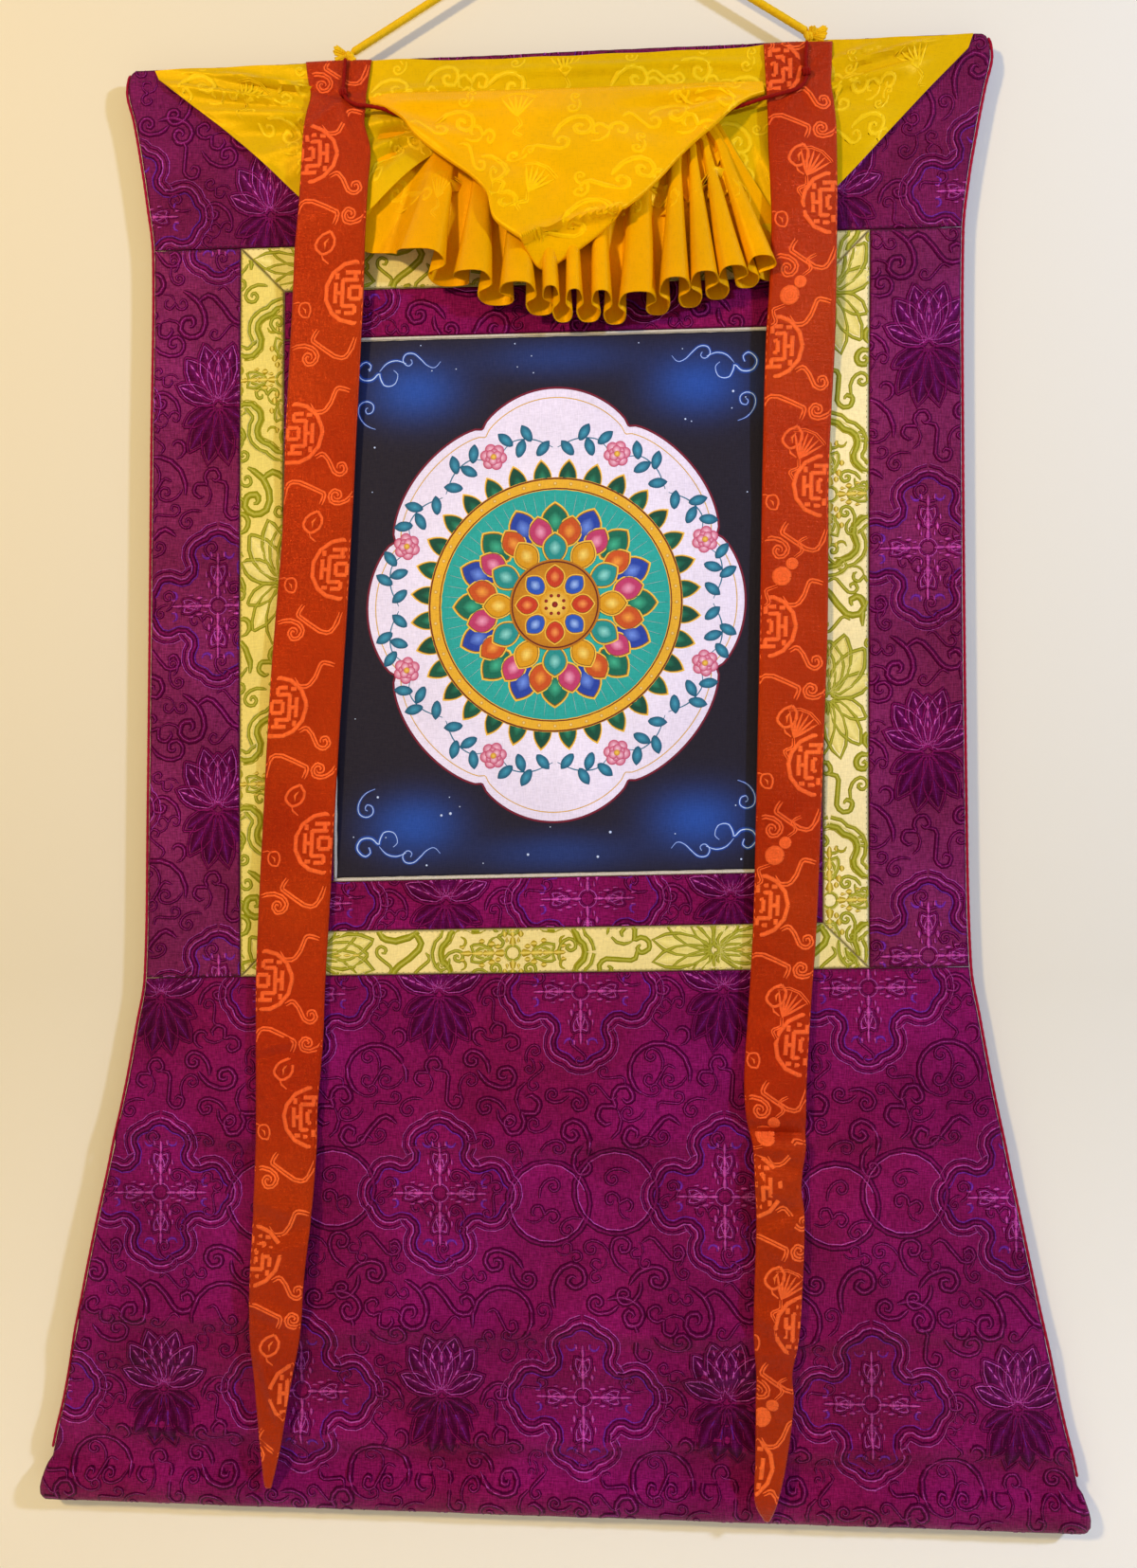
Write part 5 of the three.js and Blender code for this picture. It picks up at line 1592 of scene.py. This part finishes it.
def veil_pleats():
    """The deep pleats that hang behind the flap, from where they are gathered to the hem."""
    hem, tops = [], []
    for k, (x, z, out, wide, top_x, top_z) in enumerate(HEM_FOLDS):
        before, after = HEM_FOLDS[max(k - 1, 0)], HEM_FOLDS[min(k + 1, len(HEM_FOLDS) - 1)]
        forward = out > (before[2] + after[2]) / 2
        full = TUBE_FRONT if forward else TUBE_BACK
        for side, drawn in ((-0.5, 0.42), (-0.3, 0.05), (0.3, 0.05), (0.5, 0.42)):
            other = before if side < 0 else after
            raised = 6 - 9 * drawn if forward else 4 * drawn - 3
            hem.append((x + side * wide * full, -lerp(out, other[2], drawn),
                        lerp(z, other[1], drawn) + raised))
            share = abs(side) * 0.7
            deep = 5.4 + 9 * (0.75 if forward else 0.3) + 1 - drawn
            tops.append((lerp(top_x, other[4], share), -deep, lerp(top_z, other[5], share)))
    hem, tops = spread(hem, PLEAT_COLUMNS), spread(tops, PLEAT_COLUMNS)
    at = np.linspace(0, 1, 24)[:, None]
    rows = lerp(tops, hem, at[..., None])
    rows[..., 1] = lerp(tops[:, 1], hem[:, 1], at ** 1.15)
    run = np.arange(PLEAT_COLUMNS) * 560 / PLEAT_COLUMNS
    rows[..., 0] += 0.6 * np.sin(run / 17.0 + 3 * at) * smoothstep(at, 0.3, 1)
    rows[..., 1] += 0.5 * np.sin(run / 9.0 + 5 * at) * smoothstep(at, 0.1, 0.7)
    rows[..., 2] += 0.8 * np.sin(run / 13.0) * at ** 3
    held = np.stack([tops[:, 0] * 0.92 - 4, 0 * run - 5.4, 0 * run - 176.0], 1)
    return np.concatenate([held[None], lerp(held, tops, 0.5)[None], rows]), hem[:, 0]


print("folds of the hem:", len(HEM_FOLDS))

# %% [markdown]
# ## The veil as one piece
# A cloth simulation would find folds of its own, but these must fall as the picture shows
# them. So each layer is a grid that knows its arrows outwards: silk is laid on both its sides,
# and a figure is laid by how far across and down the silk it lies.

# %% The veil as one piece
class Draped:
    """A grid of silk on which figures can be laid: across along its top, down along a line."""

    def __init__(self, grid, across):
        self.grid = grid
        self.across = np.asarray(across, float)
        steps = np.linalg.norm(np.diff(grid, axis=0), axis=2)
        self.run = np.concatenate([np.zeros((1, grid.shape[1])), np.cumsum(steps, axis=0)])
        normal = np.cross(np.gradient(grid, axis=0), np.gradient(grid, axis=1))
        self.normal = normal / (np.linalg.norm(normal, axis=2)[..., None] + 1e-9)

    def column_of(self, across):
        return np.interp(across, self.across, np.arange(len(self.across)))

    def row_of(self, column, down):
        nearest = np.clip(np.round(column).astype(int), 0, self.grid.shape[1] - 1)
        found = np.zeros(len(down))
        for k in np.unique(nearest):
            here = nearest == k
            found[here] = np.interp(down[here], self.run[:, k], np.arange(len(self.run)))
        return found

    def inside(self, across, down):
        long = np.interp(across, self.across, self.run[-1])
        return np.minimum(np.minimum(across - self.across[0], self.across[-1] - across),
                          np.minimum(down - 1, long - down - 1))

    def lift(self, across, down, height):
        column = self.column_of(across)
        row = self.row_of(column, down)
        j = np.clip(row.astype(int), 0, self.grid.shape[0] - 2)
        i = np.clip(column.astype(int), 0, self.grid.shape[1] - 2)
        f, g = (row - j)[:, None], (column - i)[:, None]

        def between(field):
            upper = lerp(field[j, i], field[j, i + 1], g)
            return lerp(upper, lerp(field[j + 1, i], field[j + 1, i + 1], g), f)
        return between(self.grid) + between(self.normal) * (SILK / 2 + height)[:, None]

    def closed(self, code):
        """Points, faces, places and dyes of the closed silk."""
        half = self.normal * SILK / 2
        points, faces = slab(self.grid + half, self.grid - half)
        places = np.stack([np.broadcast_to(self.across, self.run.shape), self.run], -1)
        return (points, faces, np.tile(places.reshape(-1, 2), (2, 1)),
                np.tile(dye(code), (len(points), 1)))


layers = [Draped(*veil_back()), Draped(*veil_flap()), Draped(*veil_pleats())]
# painted light: the three layers are one silk, but each has its own dye, a lit or shaded copy of the
# same yellow
SILK_YELLOWS_LIT_AND_SHADED = ("d8ae04", "eeb002", "eaa600")
points, faces, places, dyes = joined([layer.closed(code) for layer, code in zip(layers, SILK_YELLOWS_LIT_AND_SHADED)])
veil = piece("veil_silk", points, faces, YELLOW_SILK, "yellow_silk", dyes, places)
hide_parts("veil")
print("veil faces:", len(faces))

# %% Figures of the silk
# painted light: each layer's figures have their own dyes too, lit and shaded copies of the same
# threads, with more contrast on the upper layer
SILK_LOOKS_LIT_AND_SHADED = [
    {"band": (SOLID_PROFILE, 0.2, "c49a00", "ecc412"),
     "thread": (THREAD_PROFILE, 0.26, "e4bc08", "fce038")},
    {"band": (SOLID_PROFILE, 0.2, "eaa800", "fcc808"),
     "thread": (THREAD_PROFILE, 0.26, "f0a800", "e89c00")},
    {"band": (SOLID_PROFILE, 0.2, "e6a200", "f4b806"),
     "thread": (THREAD_PROFILE, 0.26, "f0a800", "e89c00")},
]
CLOUD_GROUP = (placed(CLOUDS[0], 0, 0, 0, 1.0) + placed(CLOUDS[2], 24, 10, 10, 0.85)
               + placed(CLOUDS[1], -20, 14, -20, 0.8) + placed(CLOUDS[3], 6, -18, 140, 0.55))
SILK_FIGURES = (CLOUD_GROUP, placed(feather_fan(), 0, 6))
# where the figures are on each layer: across, down, turn, and which of the two
SILK_PLACES = [
    [(-318, 14, 10, 0), (-278, 34, 30, 1), (-248, 66, 50, 0), (-236, 22, 0, 0), (-208, 92, 0, 0),
     (-160, 24, 10, 0), (-118, 14, -10, 0), (-66, 20, 12, 0), (-20, 12, 0, 1), (30, 20, -8, 0),
     (80, 14, 16, 0), (118, 32, 0, 0), (148, 92, 30, 1), (206, 42, -20, 0), (226, 74, 10, 0),
     (258, 24, -30, 1), (114, 74, 60, 0), (-150, 76, -10, 0), (-196, 44, 30, 1), (176, 26, 0, 0)],
    [(-106, 34, 10, 0), (-44, 92, 30, 1), (-14, 44, -12, 0), (24, 82, 0, 0),
     (58, 34, 20, 0), (-72, 74, 50, 0), (-8, 116, -20, 0), (-56, 28, 0, 1), (96, 22, 30, 0)],
    [(-172, 52, 0, 0), (-128, 60, 0, 1), (44, 60, 0, 0), (112, 56, 0, 0)],
]
shapes = []
for layer, looks, spots in zip(layers, SILK_LOOKS_LIT_AND_SHADED, SILK_PLACES):
    strokes = []
    for x, y, turn, kind in spots:
        strokes += placed(SILK_FIGURES[kind], x, y, turn, 0.95)
    shapes += [laid_on(layer, [grid]) for grid in ribbons(strokes, layer, looks, 1.4)]
laid("veil_figure", joined(shapes), YELLOW_SILK, "yellow_silk")


# %% [markdown]
# ## Knots
# The hanging cord is knotted behind the top edge, and its frayed ends flare out in tufts. A
# small red knot holds each streamer. A knot is one cord wound round itself a few times.

# %% Knots
def wound_knot(heart, size, radius):
    """A cord wound three times round itself: a coil drawn in at both ends."""
    t = np.linspace(0, 1, 78)
    angle = 2 * math.pi * 3 * t
    swell = np.sqrt(np.clip(1 - (2 * t - 1) ** 2 * 0.7, 0.1, 1))
    coil = np.stack([(t - 0.5) * size[0] * 0.8, size[1] * 0.5 * swell * np.cos(angle),
                     size[2] * 0.5 * swell * np.sin(angle)], 1)
    return rope(evenly(coil + heart, 0.5), radius, pitch=3.4)[:2]


def flared_tuft(root, tip, wide=8.5, thick=3.4, ridges=5):
    """The frayed end of a cord, pressed flat: it widens, and its threads show as ridges."""
    root, tip = np.array(root, float), np.array(tip, float)
    along_it = (tip - root) / np.linalg.norm(tip - root)
    forward = np.array((0, -1, 0))
    side = np.cross(along_it, forward)
    at, off = np.meshgrid(np.linspace(0, 1, 14), np.linspace(-1, 1, 33), indexing="ij")
    reach = at * (1 - 0.1 * off ** 2 + 0.05 * np.sin(off * 9))
    spine = root + (tip - root) * reach[..., None]
    width = lerp(0.3, 1.0, at ** 0.7) * wide / 2
    body = thick / 2 * np.sqrt(np.clip(1 - off ** 2 * 0.92, 0, 1)) * lerp(1.0, 0.5, at)
    body = body * (1 + 0.25 * np.cos(off * math.pi * ridges))
    wave = 0.8 * at * np.sin(off * 3.2 + 1)
    middle = spine + side * (off * width)[..., None] + forward * wave[..., None]
    front = middle + forward * body[..., None]
    return slab(front, middle * 2 - front)


TUFT_TIPS = {"left": ((-11, 4.5), (-9.5, -5.5), (4, -6)), "right": ((12, 3.0), (11, -3.5), (2, 5))}
TIE_KNOTS = {"left": (-195, -13.4, -149), "right": (167, -12.6, -144)}
knot_pieces, tie_pieces = [], []
for side, (x, z) in KNOTS.items():
    heart = np.array((x, -0.5, z - 1.0))
    parts = [wound_knot(heart, (9.5, 4.6, 6.0), 2.1)]
    parts += [flared_tuft(heart + (0, -1.5, 0), heart + (dx, -4.5, dz))
              for dx, dz in TUFT_TIPS[side]]
    points, faces = joined(parts)
    made = cord_piece("knot_" + side, (points, faces, points[:, [0, 2]]), YELLOW_DYE,
                      YELLOW_CORD, "yellow_cord")
    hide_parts("cord_knot_" + side)
    knot_pieces.append(made)
for side, heart in TIE_KNOTS.items():
    points, faces = wound_knot(heart, (7, 4.4, 5.0), 1.25)
    tie_pieces.append(cord_piece("tie_knot_" + side, (points, faces, points[:, [0, 2]]), TIE_DYE,
                                 RED_CORD, "red_cord"))
print("knots:", [len(p.data.polygons) for p in knot_pieces + tie_pieces])


# %% [markdown]
# ## Stitches
# The seams are sewn by machine, with one short stitch after another. A stitch is a tiny bent
# bead of thread, and hundreds of them follow each seam, so Geometry Nodes set them: a line of
# points carries the place and the direction, and the tree puts one stitch on every point.

# %% A tree that sets stitches
STITCH_INPUTS = {"Stitch length": "Float", "Thread radius": "Float", "Unevenness": "Float",
                 "Seed": "Int", "Material": "Material"}


def stitch_tree():
    tree = bpy.data.node_groups.new("stitches", "GeometryNodeTree")
    face = tree.interface
    face.new_socket("Geometry", in_out="INPUT", socket_type="NodeSocketGeometry")
    sockets = {name: face.new_socket(name, in_out="INPUT", socket_type="NodeSocket" + kind).identifier
               for name, kind in STITCH_INPUTS.items()}
    face.new_socket("Geometry", in_out="OUTPUT", socket_type="NodeSocketGeometry")
    given = node(tree, "NodeGroupInput", {}).outputs
    ball = node(tree, "GeometryNodeMeshUVSphere",
                {"Segments": 5, "Rings": 3, "Radius": given["Thread radius"]})
    ratio = maths(tree, "DIVIDE", given["Stitch length"], given["Thread radius"])
    size = node(tree, "ShaderNodeCombineXYZ",
                {"X": 1.0, "Y": 1.0, "Z": maths(tree, "MULTIPLY", ratio, 0.5)})
    stitch = node(tree, "GeometryNodeTransform",
                  {"Geometry": ball.outputs["Mesh"], "Scale": size.outputs[0]})
    aim = node(tree, "GeometryNodeInputNamedAttribute", {"Name": "run"}, data_type="FLOAT_VECTOR")
    turn = node(tree, "FunctionNodeAlignRotationToVector",
                {"Vector": aim.outputs["Attribute"]}, axis="Z")
    least = maths(tree, "SUBTRACT", 1.0, given["Unevenness"])
    vary = node(tree, "FunctionNodeRandomValue", {2: least, 3: 1.0, "Seed": given["Seed"]},
                data_type="FLOAT")
    spots = node(tree, "GeometryNodeMeshToPoints", {0: given["Geometry"]})
    sets = node(tree, "GeometryNodeInstanceOnPoints",
                {"Points": spots.outputs[0], "Instance": stitch.outputs[0],
                 "Rotation": turn.outputs[0], "Scale": vary.outputs[1]})
    real = node(tree, "GeometryNodeRealizeInstances", {0: sets.outputs[0]})
    coloured = node(tree, "GeometryNodeSetMaterial",
                    {"Geometry": real.outputs[0], "Material": given["Material"]})
    node(tree, "NodeGroupOutput", {0: coloured.outputs[0]})
    return tree, sockets


STITCHES, STITCH_SOCKETS = stitch_tree()
print("inputs of a stitch:", list(STITCH_SOCKETS))


def stitched(name, lines, material, slot, seed, long=3.0, thread=0.32, spacing=4.2):
    """Stitches along lines of points in millimetres, as one plain mesh."""
    paths = [evenly(line, spacing) for line in lines]
    spots = np.concatenate(paths) * MM
    runs = np.concatenate([np.gradient(path, axis=0) for path in paths])
    mesh = bpy.data.meshes.new(name + "_places")
    mesh.from_pydata(spots.tolist(), [], [])
    mesh.attributes.new("run", "FLOAT_VECTOR", "POINT").data.foreach_set("vector", runs.ravel())
    base = added(name + "_places", mesh)
    modifier = base.modifiers.new("stitches", "NODES")
    modifier.node_group = STITCHES
    for socket, value in (("Stitch length", long * MM), ("Thread radius", thread * MM),
                          ("Unevenness", 0.25), ("Seed", seed), ("Material", material)):
        modifier[STITCH_SOCKETS[socket]] = value
    evaluated = base.evaluated_get(bpy.context.evaluated_depsgraph_get())
    plain_mesh = bpy.data.meshes.new_from_object(evaluated)
    base.modifiers.remove(modifier)
    bpy.data.objects.remove(base)
    plain_mesh.name = name
    plain_mesh.polygons.foreach_set("use_smooth", [True] * len(plain_mesh.polygons))
    print(name, "stitches:", len(spots))
    return dressed(added(name, plain_mesh), slot)


PURPLE_THREAD = plain_finish("purple_thread", "4a0c34", 0.6)
OLIVE_THREAD = plain_finish("olive_thread", "8c8230", 0.6)

# %% Stitches along the seams
def seam_line(panel, side, inset, back=False):
    """A line that runs beside one border of a panel, on its front or its back."""
    t = np.linspace(0, 1, 160)
    down = lerp(panel.top + 4, panel.bottom - 4, t)
    if side in ("top", "bottom"):
        down = np.full(160, panel.top + inset if side == "top" else panel.bottom - inset)
        across = lerp(panel.left(down) + 4, panel.right(down) - 4, t)
    elif side == "left":
        across = panel.left(down) + inset
    else:
        across = panel.right(down) - inset
    points = panel.back(across, down) if back else panel.front(across, down)
    points[..., 1] += 0.1 if back else -0.1
    return points


# how far the stitches keep from the top and bottom borders of the big panels
SEWN_ROWS = {"top_panel": (9.5, 1.8), "left_panel": (1.8, 1.8), "right_panel": (1.8, 1.8),
             "bottom_panel": (1.8, 31)}
by_name = {panel.name: panel for panel in PURPLE_PANELS + GREEN_PANELS}
for name, insets in SEWN_ROWS.items():
    panel = by_name[name]
    rows = list(zip(("top", "bottom"), insets))
    lines = [seam_line(panel, side, inset) for side, inset in rows]
    lines += [seam_line(panel, side, inset + 3, back=True) for side, inset in rows]
    lines += [seam_line(panel, side, 5.0, back=True) for side in ("left", "right")]
    stitched(name + "_stitches", lines, PURPLE_THREAD, "purple_brocade",
                                   len(name))
for side, sides, seed in (("left", ("left", "right"), 7), ("right", ("left", "right"), 7),
                          ("top", ("top", "bottom"), 9), ("bottom", ("top", "bottom"), 9)):
    name = "green_band_" + side
    lines = [seam_line(by_name[name], border, 1.7) for border in sides]
    stitched(name + "_stitches", lines, OLIVE_THREAD, "green_brocade",
                                   seed, 1.8, 0.25)

# %% [markdown]
# ## The room and the light
# A pale wall stands close behind the scroll and a pale floor far below it. The wall's colour has
# painted light in it: warmer to the left and darker towards the top. A warm lamp on the left and
# a cooler one on the right give the cloth its shape, each with its own soft shadow.

# %% Wall and floor
def plane(name, corners, material):
    mesh = bpy.data.meshes.new(name)
    mesh.from_pydata(corners, [], [(0, 1, 2, 3)])
    mesh.materials.append(material)
    made = added(name, mesh)
    return made


WALL_Y = 0.014
FLOOR_Z = -2.2
wall_paint_and_light = plain_finish("wall_paint_and_light", "f1e8da", 0.8)
tree = wall_paint_and_light.node_tree
shader = tree.nodes["Principled BSDF"]
place = node(tree, "ShaderNodeTexCoord", {}).outputs["Object"]
split = node(tree, "ShaderNodeSeparateXYZ", {0: place})
# painted light: the wall's colour grows warmer to the left and darker towards the top, as the lamps
# light it
wall_light_blends = []
for axis, low, high, low_code, high_code in (("X", -0.5, 0.5, "fcf0cc", "fffce6"),
                                             ("Z", -1.25, -0.85, "ffffff", "e5e3dd")):
    reach = mapped(tree, split.outputs[axis], low, high, 0.0, 1.0)
    wall_light_blends.append(node(tree, "ShaderNodeMix", {0: reach, "A": rgba(low_code),
                                               "B": rgba(high_code)}, data_type="RGBA"))
product = node(tree, "ShaderNodeMix",
               {0: 1.0, "A": wall_light_blends[0].outputs["Result"], "B": wall_light_blends[1].outputs["Result"]},
               data_type="RGBA", blend_type="MULTIPLY")
tree.links.new(product.outputs["Result"], shader.inputs["Base Color"])
# seen from behind the wall is clear, so that the scroll's back can be looked at
facing = node(tree, "ShaderNodeNewGeometry", {}).outputs["Backfacing"]
clear = node(tree, "ShaderNodeBsdfTransparent", {})
either = node(tree, "ShaderNodeMixShader", {0: facing, 1: shader.outputs[0], 2: clear.outputs[0]})
tree.links.new(either.outputs[0], tree.nodes["Material Output"].inputs[0])
wall = plane("wall", [(-3, WALL_Y, FLOOR_Z), (3, WALL_Y, FLOOR_Z), (3, WALL_Y, 1.2),
                      (-3, WALL_Y, 1.2)], wall_paint_and_light)
wall.visible_shadow = False
wall.visible_diffuse = False
plane("floor", [(-4, -4, FLOOR_Z), (4, -4, FLOOR_Z), (4, 4, FLOOR_Z), (-4, 4, FLOOR_Z)],
      plain_finish("floor_paint", "e9e4dc", 0.8))
print("wall and floor stand at", WALL_Y, FLOOR_Z)

# %% Lamps
for name, spot, aim, size, power, code in (
        ("left_lamp", (-1.3, -1.9, 0.3), (0, 0, -0.65), 0.25, 34, "ffe4b3"),
        ("right_lamp", (2.0, -1.5, 0.3), (0, 0, -0.65), 0.2, 60, "b0c3ff"),
        ("rear_lamp", (0.8, 2.2, 0.4), (0, 0, -0.6), 1.5, 30, "fff6ea")):
    light = bpy.data.lights.new(name, "AREA")
    light.shape = "DISK"
    light.size = size
    light.energy = power
    light.color = dye(code)
    made = added(name, light)
    made.location = spot
    made.rotation_euler = (Vector(aim) - Vector(spot)).to_track_quat("-Z", "Y").to_euler()
world = bpy.data.worlds.new("room")
world.use_nodes = True
world.node_tree.nodes["Background"].inputs[0].default_value = rgba("f4efe8")
world.node_tree.nodes["Background"].inputs[1].default_value = 0.4
bpy.context.scene.world = world
bpy.context.scene.view_settings.view_transform = "Standard"
print("lamps:", len(bpy.data.lights))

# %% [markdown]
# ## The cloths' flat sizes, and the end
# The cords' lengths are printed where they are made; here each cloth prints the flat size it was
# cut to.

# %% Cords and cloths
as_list(knot_pieces)
tuple(np.array(TIE_ROUTE[0]) * MM)
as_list(tie_pieces)
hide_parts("hanging_cord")
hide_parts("tie_cord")


def flat_of(panel):
    """The flat width and length of a panel, and its flat area."""
    downs = np.linspace(panel.top, panel.bottom, 400)
    wide = panel.right(downs) - panel.left(downs)
    long = panel.bottom - panel.top
    area = (long - wide.max()) * wide.max() if panel.mitre else wide.mean() * long
    return wide.max(), long, min(area, wide.max() * long)


for panel in PURPLE_PANELS + GREEN_PANELS + [canvas]:
    wide, long, area = flat_of(panel)
    print(panel.name, "flat, mm:", round(float(wide)), round(float(long)), "area", round(float(area)))
for strip in streamers:
    left, right, _ = strip.edges(np.linspace(0, strip.long, 400))
    wide = float((right - left).max())
    print(strip.name, "flat, mm:", round(wide), round(float(strip.long)))
